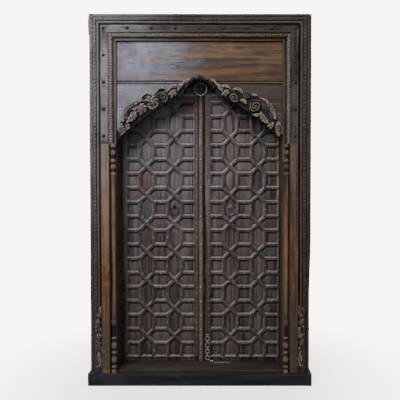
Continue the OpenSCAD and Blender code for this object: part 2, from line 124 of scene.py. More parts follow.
def finish_piece(shape, name, body, slot, material, replaces=(), angle=40):
    """Make a Shape a mesh object that rides on a body and stands for some CAD nodes."""
    mesh = bpy.data.meshes.new(name)
    mesh.from_pydata([(x * MM, y * MM, z * MM) for x, y, z in shape.points], [], shape.faces)
    for label in ("wear", "tone"):
        data = mesh.attributes.new(label, "FLOAT", "POINT").data
        data.foreach_set("value", [float(v) for v in getattr(shape, label)])
    bm = bmesh.new()
    bm.from_mesh(mesh)
    bmesh.ops.recalc_face_normals(bm, faces=bm.faces)
    bm.to_mesh(mesh)
    bm.free()
    place_mesh(mesh, name, body, slot, material, replaces, angle)


def iron_piece(shape, node, body, material):
    """A forged piece that stands for one CAD node."""
    finish_piece(shape, node + "_forged", body, "wrought_iron", material, (node,))


def place_mesh(mesh, name, body, slot, material, replaces, angle):
    """Show a finished mesh as a piece of the door."""
    mesh.materials.clear()
    mesh.materials.append(MATERIALS[material])
    mesh.shade_smooth()
    mesh.set_sharp_from_angle(angle=math.radians(angle))
    piece = bpy.data.objects.new(name, mesh)
    bpy.context.scene.collection.objects.link(piece)
    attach(piece, body)
    if replaces:
        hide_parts(*replaces)


def eased_node(node, material, slot, body):
    """A copy of a CAD node with its arrises worn round."""
    mesh = bpy.data.objects[node].data.copy()
    bm = bmesh.new()
    bm.from_mesh(mesh)
    bmesh.ops.remove_doubles(bm, verts=bm.verts, dist=0.00002)
    bmesh.ops.dissolve_limit(bm, angle_limit=math.radians(1), verts=bm.verts, edges=bm.edges)
    sharp = [e for e in bm.edges if e.is_manifold and e.calc_face_angle(0) > math.radians(40)]
    bmesh.ops.bevel(bm, geom=sharp, offset=sizes().arris * MM, segments=2, profile=0.5,
                    affect="EDGES", clamp_overlap=True)
    bm.to_mesh(mesh)
    bm.free()
    place_mesh(mesh, node + "_worn", body, slot, material, (node,), 30)


def wobble(length, amount, seed, period=260.0):
    """A slow hand-planed waviness along a length, in millimetres."""
    a, b = math.sin(seed * 1.7 + length / period), math.sin(seed * 3.1 + length / period * 2.3)
    return amount * (0.65 * a + 0.35 * b)


# ---------------------------------------------------------------- materials

def tint(value):
    """Linear RGBA of a hex value or of a finish by its name; a socket stays as it is."""
    if isinstance(value, bpy.types.NodeSocket):
        return value
    return (*(colour(value) if value[0] == "#" else shade_of(value)), 1.0)


class Nodes:
    """A node tree with short ways to add to it, each of which gives the new node's output."""

    def __init__(self, tree):
        self.tree = tree

    def fill(self, node, inputs):
        """Set or link the inputs of a node."""
        for key, value in inputs.items():
            if isinstance(value, bpy.types.NodeSocket):
                self.tree.links.new(value, node.inputs[key])
            else:
                node.inputs[key].default_value = value

    def add(self, kind, inputs=(), output=0, **options):
        made = self.tree.nodes.new(kind)
        for key, value in options.items():
            setattr(made, key, value)
        self.fill(made, dict(inputs))
        return made.outputs[output] if made.outputs else made

    def mix(self, factor, first, second, mode="MIX"):
        """Mix two colours, each a socket, a hex value or the name of a finish."""
        return self.add("ShaderNodeMix", {0: factor, 6: tint(first), 7: tint(second)}, 2,
                        data_type="RGBA", blend_type=mode)

    def calc(self, operation, *values):
        return self.add("ShaderNodeMath", enumerate(values), operation=operation)

    def span(self, value, low, high, to_low=0.0, to_high=1.0):
        """Carry a value from one span to another, held at its ends."""
        return self.add("ShaderNodeMapRange", enumerate((value, low, high, to_low, to_high)),
                        interpolation_type="SMOOTHSTEP")

    def noise(self, vector, size_mm, detail=3.0, roughness=0.55, distortion=0.0):
        """Noise whose lumps are about size_mm across."""
        return self.add("ShaderNodeTexNoise",
                        {"Vector": vector, "Scale": 1.0 / (size_mm * MM), "Detail": detail,
                         "Roughness": roughness, "Distortion": distortion})


def new_material(name):
    material = bpy.data.materials.new(name)
    material.use_nodes = True
    nodes = Nodes(material.node_tree)
    nodes.tree.nodes.clear()
    out = nodes.add("ShaderNodeOutputMaterial")
    shader = nodes.add("ShaderNodeBsdfPrincipled").node
    nodes.fill(out, {0: shader.outputs[0]})
    return material, nodes, shader


def aged_teak(key, name, along, seed, tones, roughness=0.5, grey_left=None, crack=0.6,
              grain=1.0, low_shade=0.72, silver_from=-0.05, silver_to=-0.66, silver_foot=0.3,
              gloss=0.4, stain=0.0, mottle=0.0, splash=None):
    """Old oiled teak, hand planed: streaky open grain that runs along one axis, painted shade
    in the hollows, pale handled arrises with painted highlights, fine drying cracks and a dull
    oil sheen, weathered silver with a painted reflection to the upper left and painted shade by
    height. The tones are the dark, body, pale and worn colours, each a hex value or the name of
    a finish."""
    dark, body, pale, worn = tones.split()
    MATERIALS[key], nodes, shader = new_material(name)
    mix, calc, span, noise = nodes.mix, nodes.calc, nodes.span, nodes.noise
    place = nodes.add("ShaderNodeTexCoord", output="Object")
    moved = nodes.add("ShaderNodeMapping",
                      {"Vector": place, "Location": (seed, seed * 0.7, seed * 0.3)})

    def stretched(share):
        scale = (share, 1.0, 1.0) if along == "X" else (1.0, 1.0, share)
        return nodes.add("ShaderNodeMapping", {"Vector": moved, "Scale": scale})

    fibre = stretched(0.045)
    streak = noise(fibre, 5.0, 4.0, 0.62)       # pores and rays, drawn coarse
    band = noise(fibre, 26.0, 3.0, 0.5, 0.4)    # growth bands
    cloud = noise(moved, 190.0, 3.0, 0.6)       # patches of wear and old oil
    speck = noise(moved, 9.0, 3.0, 0.7)         # dents and grime
    across = nodes.add("ShaderNodeSeparateXYZ", {0: place})
    height = across.node.outputs[2]
    wear, tone = (nodes.add("ShaderNodeAttribute", output="Fac", attribute_name=label)
                  for label in ("wear", "tone"))

    base = mix(span(band, 0.36, 0.62), dark, body)
    base = mix(span(streak, 0.50, 0.74, 0.0, 0.62 * grain), base, pale)
    base = mix(span(streak, 0.48, 0.30, 0.0, 0.7 * grain), base, dark)
    if grey_left:                               # weathered silver with a painted reflection (sheen) on the upper left
        left = calc("MULTIPLY", span(across, silver_from, silver_to),
                    span(height, 0.6, 2.2, silver_foot, 1.0))
        patchy = calc("MULTIPLY", left, span(cloud, 0.30, 0.62, 0.6 - mottle, 1.0))
        base = mix(patchy, base, grey_left)
    if splash:                                  # rain splash above the sill
        soaked = calc("MULTIPLY", span(height, 0.62, 0.34), span(cloud, 0.30, 0.62, 0.82, 0.97))
        base = mix(soaked, base, splash)
    if mottle:                                  # scuffs of the silvered side
        scuff = noise(stretched(0.3), 13.0, 4.0, 0.65, 0.6)
        scuffed = span(across, 0.25, -0.35, 0.25 * mottle, mottle)
        base = mix(calc("MULTIPLY", scuffed, span(scuff, 0.56, 0.68)), base, worn)
        base = mix(span(scuff, 0.42, 0.33, 0.0, mottle), base, dark)
    base = mix(span(cloud, 0.50, 0.72, 0.0, 0.45), base, pale)
    base = mix(span(tone, 0.1, 1.0, 0.0, 0.5), base, "#433130")
    base = mix(span(tone, -0.1, -1.0, 0.0, 0.6), base, "#42423a")
    rust = span(noise(moved, 240.0, 2.0, 0.5), 0.57, 0.66, 0.0, stain)
    base = mix(rust, base, "#493329")
    # rubbed arrises: real wear, with painted highlights on crests and on slopes facing up and left
    rubbed = calc("MULTIPLY", span(wear, 0.1, 1.1), span(speck, 0.32, 0.62, 0.25, 0.9))
    base = mix(rubbed, base, worn)
    # painted shade: hollows, creases, bead feet and slopes facing down darkened towards near black
    base = mix(span(wear, -0.05, -0.9, 0.0, 0.92), base, "#0d0a08")
    base = mix(span(speck, 0.40, 0.26, 0.0, 0.55), base, dark)
    split = calc("ABSOLUTE", calc("SUBTRACT", noise(fibre, 17.0, 2.0), 0.5))
    line = calc("MULTIPLY", span(split, 0.012, 0.002, 0.0, crack), span(cloud, 0.44, 0.56))
    base = mix(line, base, "#080605")
    # painted shade by height: darker towards the foot where low_shade is under 1, lighter there
    # where it is over 1, a little warmer at the foot
    shade = [span(height, 0.05, 1.9, low_shade * warmth, 1.0) for warmth in (1.0, 0.97, 0.92)]
    base = mix(1.0, base, nodes.add("ShaderNodeCombineColor", enumerate(shade)), "MULTIPLY")

    rough = calc("ADD", span(cloud, 0.35, 0.7, roughness + 0.08, roughness - 0.07),
                 span(streak, 0.3, 0.7, 0.10, -0.06))
    rough = calc("ADD", rough, span(wear, -0.6, 0.6, 0.22, -0.06))
    relief = calc("ADD", calc("MULTIPLY", streak, 0.5 * grain), calc("MULTIPLY", speck, 0.45))
    relief = calc("SUBTRACT", relief, calc("MULTIPLY", line, 1.2))
    bump = nodes.add("ShaderNodeBump", {"Strength": 0.55, "Distance": 0.0016, "Height": relief})
    nodes.fill(shader, {"Base Color": base, "Roughness": rough, "Normal": bump, "IOR": 1.5,
                        "Specular IOR Level": gloss})


def forged_iron(key, name, base, rust, bright, metallic):
    """Hand-forged iron, black scale rubbed to dull metal on its high spots, a little rust."""
    MATERIALS[key], nodes, shader = new_material(name)
    place = nodes.add("ShaderNodeTexCoord", output="Object")
    scale = nodes.noise(place, 6.0, 4.0, 0.6)     # hammer marks and scale
    patch = nodes.noise(place, 22.0, 2.0, 0.5)
    base = nodes.mix(nodes.span(scale, 0.42, 0.66), base, bright)
    base = nodes.mix(nodes.span(patch, 0.55, 0.72, 0.0, 0.6), base, rust)
    bump = nodes.add("ShaderNodeBump", {"Strength": 0.5, "Distance": 0.0007, "Height": scale})
    nodes.fill(shader, {"Base Color": base, "Normal": bump, "Metallic": metallic,
                        "Roughness": nodes.span(scale, 0.35, 0.7, 0.62, 0.40)})


# ---------------------------------------------------------------- sizes and colours to change

def millimetres(label, text, default, low, high):
    return bpy.props.FloatProperty(name=label, description=text + ", in mm", default=default,
                                   min=low, max=high)


class DoorSizes(bpy.types.PropertyGroup):
    arris: millimetres("Worn arris", "Width of the rounding worn on plain timbers", 2.4, 0.2, 6)
    bar_half: millimetres("Half bar", "Half the width of a lattice bar", 11.0, 6, 16)
    rope_pitch: millimetres("Rope pitch", "Distance between twists of the rope", 23.0, 10, 40)
    bead_pitch: millimetres("Bead pitch", "Distance between the outer moulding's beads",
                            23.5, 8, 40)
    rib_pitch: millimetres("Rib bead pitch", "Distance between beads on a leaf's ribs",
                           16.4, 6, 30)
    relief_step: millimetres("Relief grid", "Grid spacing of the carved reliefs", 1.8, 1, 6)
    nails_across: bpy.props.IntProperty(
        name="Nails across", description="Dome nails across the head", default=9, min=3, max=21)
    nails_down: bpy.props.IntProperty(
        name="Nails down", description="Dome nails down each side, with the corner",
        default=5, min=2, max=9)


# the finishes a user may change: label, hex value and what it colours
FINISHES = {
    "leaf_dark": ("#1c1714", "Leaf, pores and dirt"),
    "leaf_body": ("#524943", "Leaf, oiled face"),
    "leaf_pale": ("#6b625a", "Leaf, dry grain"),
    "leaf_worn": ("#958c88", "Leaf, rubbed arrises"),
    "frame_dark": ("#120e0c", "Frame, pores and dirt"),
    "frame_body": ("#241e1b", "Frame, oiled face"),
    "frame_pale": ("#373029", "Frame, dry grain"),
    "frame_worn": ("#4f463e", "Frame, rubbed arrises"),
    # weathered silver with a painted reflection (sheen) of the upper left
    "silver": ("#6c6a6b", "Weathered silver of the upper left"),
    "panel_body": ("#503b25", "Head panel, oiled face"),
    "jamb_body": ("#513a24", "Left jamb, polished brown"),
    "jamb_red": ("#413022", "Right jamb, red brown"),
    "sill_body": ("#1f1e20", "Sill, blackened face"),
    "iron_body": ("#0f0e10", "Forged iron"),
}


def colour_property(key):
    value, label = FINISHES[key]
    return bpy.props.FloatVectorProperty(
        name=label, description=label + ", linear colour", subtype="COLOR", size=3,
        min=0.0, max=1.0, default=colour(value))


DoorColours = type("DoorColours", (bpy.types.PropertyGroup,),
                   {"__annotations__": {key: colour_property(key) for key in FINISHES}})


def sizes():
    return bpy.context.scene.door_sizes


def shade_of(key):
    return tuple(getattr(bpy.context.scene.door_colours, key))


# ---------------------------------------------------------------- the finishes

MATERIALS = {}


def make_materials():
    """Every finish of the door, by its plain name."""
    def pair(keys, names, seed, tones, **options):
        """One wood with its grain upright, and again with its grain level."""
        for key, name, along, extra in zip(keys, names, "ZX", (0.0, 1.0)):
            aged_teak(key, name, along, seed + extra, tones, **options)

    # the grey of the upper left and its spans mix weathered silver with a painted reflection
    # (sheen); low_shade is painted shade by height
    pair(("leaf", "leaf_level"), ("leaf_teak_upright", "leaf_teak_level"), 1.0,
         "leaf_dark leaf_body leaf_pale leaf_worn", roughness=0.48, low_shade=0.61, stain=0.5,
         grey_left="#77767c", silver_from=0.5, silver_to=-1.1, silver_foot=0.0)
    frame_wood = dict(grey_left="silver", gloss=0.22, roughness=0.62, silver_foot=0.2)
    pair(("frame", "frame_level"), ("frame_teak_upright", "frame_teak_level"), 4.0,
         "frame_dark frame_body frame_pale frame_worn", mottle=0.28, **frame_wood)
    pair(("plain", "plain_level"), ("carcass_teak_upright", "carcass_teak_level"), 9.0,
         "#140f0c #3a2c23 #4d3d33 #6a5d53", roughness=0.62)
    frame_wood.update(crack=0.9, mottle=0.55)
    carving = dict(grain=0.5, crack=0.2)
    rope = dict(carving, grey_left="#77736f", silver_to=-1.1, roughness=0.48)
    # key, name, axis of the grain, seed, tones and options of each other wood
    for key, name, along, seed, tones, options in (
        ("band", "band_teak_upright", "Z", 21.0, "frame_dark #35302d #4a433d frame_worn",
         frame_wood),
        ("band_level", "band_teak_level", "X", 22.0, "frame_dark #292522 #3c3631 frame_worn",
         frame_wood),
        ("carved", "carved_teak", "X", 3.0, "frame_dark #3b332d #554b42 #857b70",
         dict(carving, low_shade=0.85)),
        ("carved_gold", "carved_teak_golden", "X", 24.0, "frame_dark #3c342a #594e3f #877e6d",
         dict(carving, low_shade=0.85, roughness=0.46)),
        ("carved_dark", "carved_teak_dark", "Z", 14.0, "frame_dark #29221d #463c33 #8b8073",
         dict(carving, low_shade=0.85, roughness=0.52)),
        ("crown", "carved_teak_crown", "X", 20.0, "#0b0908 #1a1512 #241e1a #352d27",
         dict(carving, low_shade=1.0, roughness=0.6, gloss=0.2)),
        # head panel: weathered silver with a painted bluish reflection (sheen) towards its left
        ("panel", "panel_teak_silvered", "X", 6.0, "#2c1e16 panel_body #5c4636 #7a7068",
         dict(roughness=0.42, grey_left="#6a6e7b", crack=0.9, grain=0.75, low_shade=0.9,
              silver_from=0.12, silver_to=-0.50, silver_foot=0.7, mottle=0.45)),
        ("spandrel", "spandrel_teak", "X", 19.0, "#1f1814 #382e27 #483c34 #6c625a",
         dict(roughness=0.44, grey_left="#696b73", crack=0.7, low_shade=1.0,
              silver_from=0.1, silver_to=-0.42, silver_foot=1.0, mottle=0.3)),
        ("jamb", "jamb_teak_polished", "Z", 7.0, "#2f1c11 jamb_body #6c4a29 #7a6450",
         dict(crack=0.5, grey_left="#4e4e50", low_shade=1.8, silver_from=-0.2, silver_to=-0.5,
              silver_foot=0.0, splash="#2b2419", mottle=0.2)),
        ("jamb_red", "jamb_teak_red", "Z", 8.0, "#24150d jamb_red #5e4329 #6e5c48",
         dict(crack=0.8, low_shade=1.6, splash="#2a2119", mottle=0.4)),
        # painted light: the right post is a lighter copy of the left post's wood, for its reveal
        # that faces the light
        ("plain_right", "carcass_teak_polished", "Z", 23.0, "#2a1d15 #524234 #615042 #736556",
         {}),
        ("sill", "sill_blackened", "X", 11.0, "#131214 sill_body #2d2c2f #4a494d",
         dict(roughness=0.6, crack=0.9, low_shade=1.0, gloss=0.22)),
        ("threshold", "threshold_teak", "X", 12.0, "#1a1512 #322b26 #453d36 #645a52",
         dict(low_shade=1.0)),
        ("strip", "half_round_teak", "Z", 13.0, "#21160f #453329 #695547 #978b7d",
         dict(roughness=0.42, crack=0.2)),
        ("rope", "rope_teak_upright", "Z", 15.0, "#1b120b #41301f #58462f #857967",
         dict(rope, silver_from=-0.2)),
        ("rope_level", "rope_teak_level", "X", 16.0, "#1b120b #3a2b1e #514130 #7d7263",
         dict(rope, silver_from=0.2)),
        ("rope_right", "rope_teak_rubbed", "Z", 18.0, "#14110f #332e2b #4d4846 #918d8d",
         dict(carving, roughness=0.44)),
        ("column", "column_teak", "Z", 17.0, "#23180f #5d4630 #776049 #92877a",
         dict(roughness=0.45, crack=0.3, grey_left="#4b463e", low_shade=0.8,
              silver_from=-0.2, silver_to=-0.5, silver_foot=0.0, splash="#413a33")),
        ("column_gold", "column_teak_golden", "Z", 25.0, "#271b11 #5b4730 #735d45 #92877a",
         dict(roughness=0.45, crack=0.3, low_shade=0.8, splash="#36322e")),
    ):
        aged_teak(key, name, along, seed, tones, **options)
    forged_iron("iron", "forged_iron", "iron_body", "#1e1613", "#232124", 0.2)
    forged_iron("nail_iron", "small_nail_iron", "#2e2a28", "#3a241a", "#a09a95", 0.3)
    # bright iron: handled metal, and painted light on the ring under the lintel, which hangs in
    # shade
    forged_iron("bright_iron", "handled_iron", "#5f5b59", "#3a241a", "#c2beb9", 0.25)


# ---------------------------------------------------------------- beads and nails by geometry nodes

# stands beads that were grown on a flat drawing up, so that they face the front
FRONT = Matrix(((1, 0, 0, 0), (0, 0, -1, 0), (0, 1, 0, 0), (0, 0, 0, 1)))


def bead_tree(along_line):
    """Half-sunken beads along drawn lines, or one on each drawn point."""
    tree = bpy.data.node_groups.new("carved_beads" if along_line else "nail_heads",
                                    "GeometryNodeTree")
    tree.interface.new_socket(name="Geometry", in_out="OUTPUT", socket_type="NodeSocketGeometry")
    ids = {}
    for name, kind, value in (
            ("Geometry", "Geometry", None), ("Pitch", "Float", 0.02), ("Length", "Float", 0.01),
            ("Width", "Float", 0.006), ("Height", "Float", 0.005), ("Turn", "Float", 0.0),
            ("Unevenness", "Float", 0.1), ("Seed", "Int", 0), ("Material", "Material", None)):
        made = tree.interface.new_socket(name=name, in_out="INPUT",
                                         socket_type="NodeSocket" + kind)
        if value is not None:
            made.default_value = value
        ids[name] = made.identifier
    nodes = Nodes(tree)
    add, calc = nodes.add, nodes.calc
    given = add("NodeGroupInput").node.outputs
    ball = add("GeometryNodeMeshUVSphere", {"Segments": 10, "Rings": 6, "Radius": 1.0}, "Mesh")
    height = add("ShaderNodeSeparateXYZ", {0: add("GeometryNodeInputPosition")}, 2)
    # bead tops rubbed; bead feet given painted shade where they sink into the ground
    rub = add("ShaderNodeMapRange", {0: height, 1: 0.05, 2: 0.9, 3: -0.9, 4: 0.62})
    ball = add("GeometryNodeStoreNamedAttribute", {"Geometry": ball, "Name": "wear", "Value": rub},
               data_type="FLOAT", domain="POINT")
    turn = add("FunctionNodeRandomValue", {2: -0.35, 3: 0.35, "Seed": given["Seed"]}, 1,
               data_type="FLOAT")
    turn = calc("ADD", given["Turn"], calc("MULTIPLY", turn, given["Unevenness"]))
    if along_line:
        curve = add("GeometryNodeMeshToCurve", {0: given["Geometry"]})
        points = add("GeometryNodeResampleCurve", {"Curve": curve, "Length": given["Pitch"]},
                     mode="LENGTH")
        facing = add("FunctionNodeAlignRotationToVector",
                     {"Vector": add("GeometryNodeInputTangent")}, axis="X")
    else:
        points = add("GeometryNodeMeshToPoints", {0: given["Geometry"]})
        facing = add("FunctionNodeEulerToRotation")
    spin = add("FunctionNodeAxisAngleToRotation", {0: (0.0, 0.0, 1.0), 1: turn})
    facing = add("FunctionNodeRotateRotation", {0: facing, 1: spin}, rotation_space="LOCAL")
    grow = add("FunctionNodeRandomValue", {0: (-1.0, -1.0, -1.0), 1: (1.0, 1.0, 1.0),
                                           "Seed": calc("ADD", given["Seed"], 7)},
               data_type="FLOAT_VECTOR")
    grow = add("ShaderNodeVectorMath", {0: grow, 1: given["Unevenness"], 2: (1.0, 1.0, 1.0)},
               operation="MULTIPLY_ADD")
    size = add("ShaderNodeCombineXYZ",
               {0: given["Length"], 1: given["Width"], 2: given["Height"]})
    size = add("ShaderNodeVectorMath", {0: grow, 1: size}, operation="MULTIPLY")
    placed = add("GeometryNodeInstanceOnPoints",
                 {"Points": points, "Instance": ball, "Rotation": facing, "Scale": size})
    real = add("GeometryNodeRealizeInstances", {0: placed})
    last = add("GeometryNodeSetMaterial", {"Geometry": real, "Material": given["Material"]})
    add("NodeGroupOutput", {0: last})
    return tree, ids


TREES = {}


def bead_row(name, lines, depth, body, slot, material, size, pitch=0.0, turn=0.0,
             uneven=0.12, seed=1, replaces=()):
    """Beads or nail heads on lines drawn in X and Z at one depth; size is length, width, height."""
    in_line = pitch > 0
    if in_line not in TREES:
        TREES[in_line] = bead_tree(in_line)
    tree, ids = TREES[in_line]
    points, edges = [], []
    for line in lines:
        start = len(points)
        points += [(x * MM, z * MM, 0.0) for x, z in line]
        if in_line:
            edges += [(start + i, start + i + 1) for i in range(len(line) - 1)]
    mesh = bpy.data.meshes.new(name + "_lines")
    mesh.from_pydata(points, edges, [])
    piece = bpy.data.objects.new(name, mesh)
    bpy.context.scene.collection.objects.link(piece)
    modifier = piece.modifiers.new("beads", "NODES")
    modifier.node_group = tree
    values = {"Pitch": pitch * MM, "Length": size[0] * MM, "Width": size[1] * MM,
              "Height": size[2] * MM, "Turn": turn, "Unevenness": uneven}
    for key, value in values.items():
        modifier[ids[key]] = float(value)
    modifier[ids["Seed"]] = seed
    modifier[ids["Material"]] = MATERIALS[material]
    graph = bpy.context.evaluated_depsgraph_get()
    made = bpy.data.meshes.new_from_object(piece.evaluated_get(graph), depsgraph=graph)
    bpy.data.objects.remove(piece)
    made.name = name
    made.transform(Matrix.Translation((0, depth * MM, 0)) @ FRONT)
    place_mesh(made, name, body, slot, material, replaces, 60)


def nail_row(name, points, depth, body, material, size, uneven, seed, replaces=()):
    """Domed iron heads, one on each point."""
    bead_row(name, [[p] for p in points], depth, body, "wrought_iron", material, size,
             uneven=uneven, seed=seed, replaces=replaces)


# ---------------------------------------------------------------- plain timbers

def timbers(body, table):
    """Plain timbers of one body, each row a CAD node, its finish and its slot."""
    for node, material, slot in table:
        eased_node(node, material, slot, body)


class DOOR_OT_frame_timbers(bpy.types.Operator):
    """Posts, head, lintel, sill, boards and facings, with their arrises worn round"""
    bl_idname = "door.frame_timbers"
    bl_label = "Frame timbers"

    def execute(self, context):
        timbers("frame", [
            ("sill_beam", "sill", "sill_timber"),
            ("threshold_board", "threshold", "dark_teak"),
            ("left_post", "plain", "oiled_teak"),
            ("right_post", "plain_right", "oiled_teak"),
            ("head_beam", "plain_level", "dark_teak"),
            ("lintel", "plain_level", "dark_teak"),
            ("transom_board", "panel", "weathered_teak"),
            ("left_spandrel_boards", "spandrel", "weathered_teak"),
            ("right_spandrel_boards", "spandrel", "weathered_teak"),
            ("left_jamb_facing", "jamb", "oiled_teak"),
            ("right_jamb_facing", "jamb_red", "oiled_teak"),
        ])
        return {"FINISHED"}


class DOOR_OT_leaf_timbers(bpy.types.Operator):
    """Boards, ledges and stiles of both leaves, with their arrises worn round"""
    bl_idname = "door.leaf_timbers"
    bl_label = "Leaf timbers"

    def execute(self, context):
        for side, _ in SIDES:
            timbers(side + "_leaf", [
                (side + "_boards", "leaf", "dark_teak"),
                (side + "_ledges", "leaf_level", "dark_teak"),
                (side + "_meeting_stile", "leaf", "dark_teak"),
                (side + "_pivot_stile", "leaf", "dark_teak"),
            ])
        return {"FINISHED"}


class DOOR_OT_batten(bpy.types.Operator):
    """Reeded batten across the head panel, with its small nails"""
    bl_idname = "door.batten"
    bl_label = "Batten"

    def execute(self, context):
        low, high = box_mm("transom_batten")
        tall, proud = high[2] - low[2], BOARD_FRONT - low[1]
        profile = [(0.0, 0.0), (0.0, 0.7), (0.08, 1.0), (0.24, 0.9), (0.30, 0.35), (0.42, 0.42),
                   (0.70, 0.40), (0.76, 0.95), (0.90, 0.9), (1.0, 0.5), (1.0, 0.0)]
        shape = Shape()
        for _, sign in SIDES:
            rings = []
            for x in spread(CROWN_R, high[0], 30):
                x *= sign
                sag = wobble(x, 0.7, 2.0, 110)
                rings.append([(x, BOARD_FRONT + 0.5 - max(0.0, proud * v * 0.9 + (sag if v else 0)),
                               low[2] + tall * u + (sag * 0.8 if 0 < u < 1 else 0))
                              for u, v in profile])
            # reeds rubbed, grooves given painted shade
            shape.skin(rings, [-0.6 if v < 0.5 else 0.3 for _, v in profile])
        finish_piece(shape, "transom_batten_reeded", "frame", "weathered_teak", "panel",
                     ("transom_batten",), 35)
        rng = np.random.default_rng(5)
        nails = [(x + rng.uniform(-14, 14), low[2] + tall * 0.56)
                 for x in np.arange(low[0] + 60, high[0] - 20, 92) if abs(x) > CROWN_R + 30]
        nail_row("batten_nails", nails, BOARD_FRONT - proud * 0.4, "frame", "iron",
                 (4.6, 4.2, 2.4), 0.25, 12)
        return {"FINISHED"}


# ---------------------------------------------------------------- mouldings of the frame

# profile of each moulding as offset from the frame's edge and depth in front of the posts
OUTER_PROFILE = [(0, 0), (0, 17), (2, 23), (6, 26), (18, 26), (22, 24), (24, 19), (26, 20),
                 (27, 28), (45, 28), (46, 20), (48, 19), (50, 26), (53, 29), (60, 29),
                 (63, 27), (65, 20), (67, 10), (70, 8), (71, 13), (73, 15), (75, 13), (76, 0)]
BAND_PROFILE = [(76, 0), (76, 32), (78, 34.5), (81, 35), (121, 35), (124, 34), (126, 31),
                (126, 0)]
ROPE_PROFILE = [(126, 0), (126, 21), (128, 24), (146, 24), (149, 21), (151, 15), (155, 9),
                (160, 7), (164, 9), (167, 13), (169, 15), (171.5, 14), (173, 9), (173, 0)]
SECTION_STEP = 24.0  # distance between the sections of a moulding
MITRE_CALM = 60.0  # distance before a mitre in which the waviness dies out


def profile_wear(profile):
    """Crests are rubbed and hollows get painted shade: height against the profile's neighbours."""
    wear = []
    for offset, height in profile:
        near = [h for d, h in profile if abs(d - offset) < 7 and h > 0]
        wear.append(max(-1, min(1, (height - sum(near) / max(len(near), 1)) / 5)) if near else 0)
    return wear


def moulding_lines(offset, z0):
    """Lines up the left, across the head and up the right, which stop short of the mitres."""
    x, z, gap = EDGE - offset, TOP - offset, 6.0
    return {"left": [(-x, z0), (-x, z - gap)], "top": [(-x + gap, z), (x - gap, z)],
            "right": [(x, z0), (x, z - gap)]}


def moulding(shape, profile, side, z0, seed):
    """A moulding up one side, or across the head if side is 0, mitred at its corners."""
    n = max(2, round((TOP - z0 if side else 2 * EDGE) / SECTION_STEP))
    rings = []
    for k in range(n + 1):
        ring = []
        for offset, height in profile:
            if side:
                at = z0 + (TOP - offset - z0) * k / n
                left = TOP - offset - at
            else:
                reach = EDGE - offset
                at = -reach + 2 * reach * k / n
                left = reach - abs(at)
            ease = min(1.0, left / MITRE_CALM)
            sway = wobble(at, 0.9 * ease, seed + offset * 0.01)
            lift = wobble(at, 0.7 * ease, seed + 5 + offset * 0.05, 90.0) if height > 0 else 0
            inset = max(0.0, offset + sway) if offset > 0 else 0.0
            if offset < 3 and side > 0:  # the right edge has spread towards the head
                inset -= 9 * max(0.0, min(1.0, (at - 620) / 300)) * (height > 0)
            y = POST_FRONT - min(height + lift, POST_FRONT - FACE)
            ring.append((side * (EDGE - inset), y, at) if side else (at, y, TOP - inset))
        rings.append(ring)
    shape.skin(rings, profile_wear(profile))


class DOOR_OT_mouldings(bpy.types.Operator):
    """Outer carved moulding, nailed band and rope moulding round the frame"""
    bl_idname = "door.mouldings"
    bl_label = "Mouldings"

    def execute(self, context):
        kinds = [("outer_moulding", OUTER_PROFILE, SILL_TOP, "weathered_teak", "frame"),
                 ("nailed_band", BAND_PROFILE, BAND_FOOT, "weathered_teak", "band"),
                 ("rope_moulding", ROPE_PROFILE, BAND_FOOT, "oiled_teak", "rope")]
        for k, (kind, profile, foot, slot, look) in enumerate(kinds):
            for side, sign in (*SIDES, ("top", 0)):
                shape = Shape()
                moulding(shape, profile, sign, foot, 10 * k + (sign or 4))
                name = f"{side}_{kind}"
                finish_piece(shape, name + "_carved", "frame", slot,
                             look if sign else look + "_level", (name,), 28)
        beads, swags, rope = (moulding_lines(offset, foot + 12) for offset, foot in (
            (36, SILL_TOP), (11, SILL_TOP), (137, BAND_FOOT)))
        for part, rope_look in (("left", "rope"), ("top", "rope_level"), ("right", "rope_right")):
            seed = len(part)
            look = "frame_level" if part == "top" else "frame"
            pitch = sizes().bead_pitch * (0.72 if part == "top" else 1.0)
            bead_row(f"{part}_outer_beads", [beads[part]], POST_FRONT - 28, "frame",
                     "weathered_teak", look, (pitch * 0.44, 7.6, 6.4), pitch, 0.22, 0.22, seed)
            bead_row(f"{part}_outer_leafage", [swags[part]], POST_FRONT - 24.5, "frame",
                     "weathered_teak", look, (11.5, 5.0, 4.5), 15.0,
                     0.75 if part == "left" else -0.75, 0.35, seed + 3)
            bead_row(f"{part}_rope_twists", [rope[part]], POST_FRONT - 22, "frame",
                     "oiled_teak", rope_look, (14.6, 6.6, 9.6), sizes().rope_pitch * 0.74,
                     1.0, 0.14, seed + 5)
        return {"FINISHED"}


class DOOR_OT_frame_nails(bpy.types.Operator):
    """Forged dome nails on the bands round the frame"""
    bl_idname = "door.frame_nails"
    bl_label = "Frame nails"

    def execute(self, context):
        low, high = box_mm("frame_nails")
        radius = 9.0
        reach, top, foot = high[0] - radius, high[2] - radius, low[2] + radius
        points = [(x, top) for x in spread(-reach, reach, sizes().nails_across - 1)]
        for z in spread(top, foot, sizes().nails_down - 1)[1:]:
            points += [(-reach, z), (reach, z)]
        nail_row("frame_nail_heads", points, FACE, "frame", "iron", (12.0, 11.6, 6.2), 0.08, 3,
                 ("frame_nails",))
        extra = [(-reach + 3, top - 30), (-reach + 14, top - 92), (reach - 6, top - 60),
                 (-reach - 8, foot - 34), (reach + 6, foot - 30)]
        nail_row("frame_small_nails", extra, FACE + 0.4, "frame", "iron", (5.0, 4.4, 1.8), 0.2, 5)
        return {"FINISHED"}


# ---------------------------------------------------------------- carved reliefs

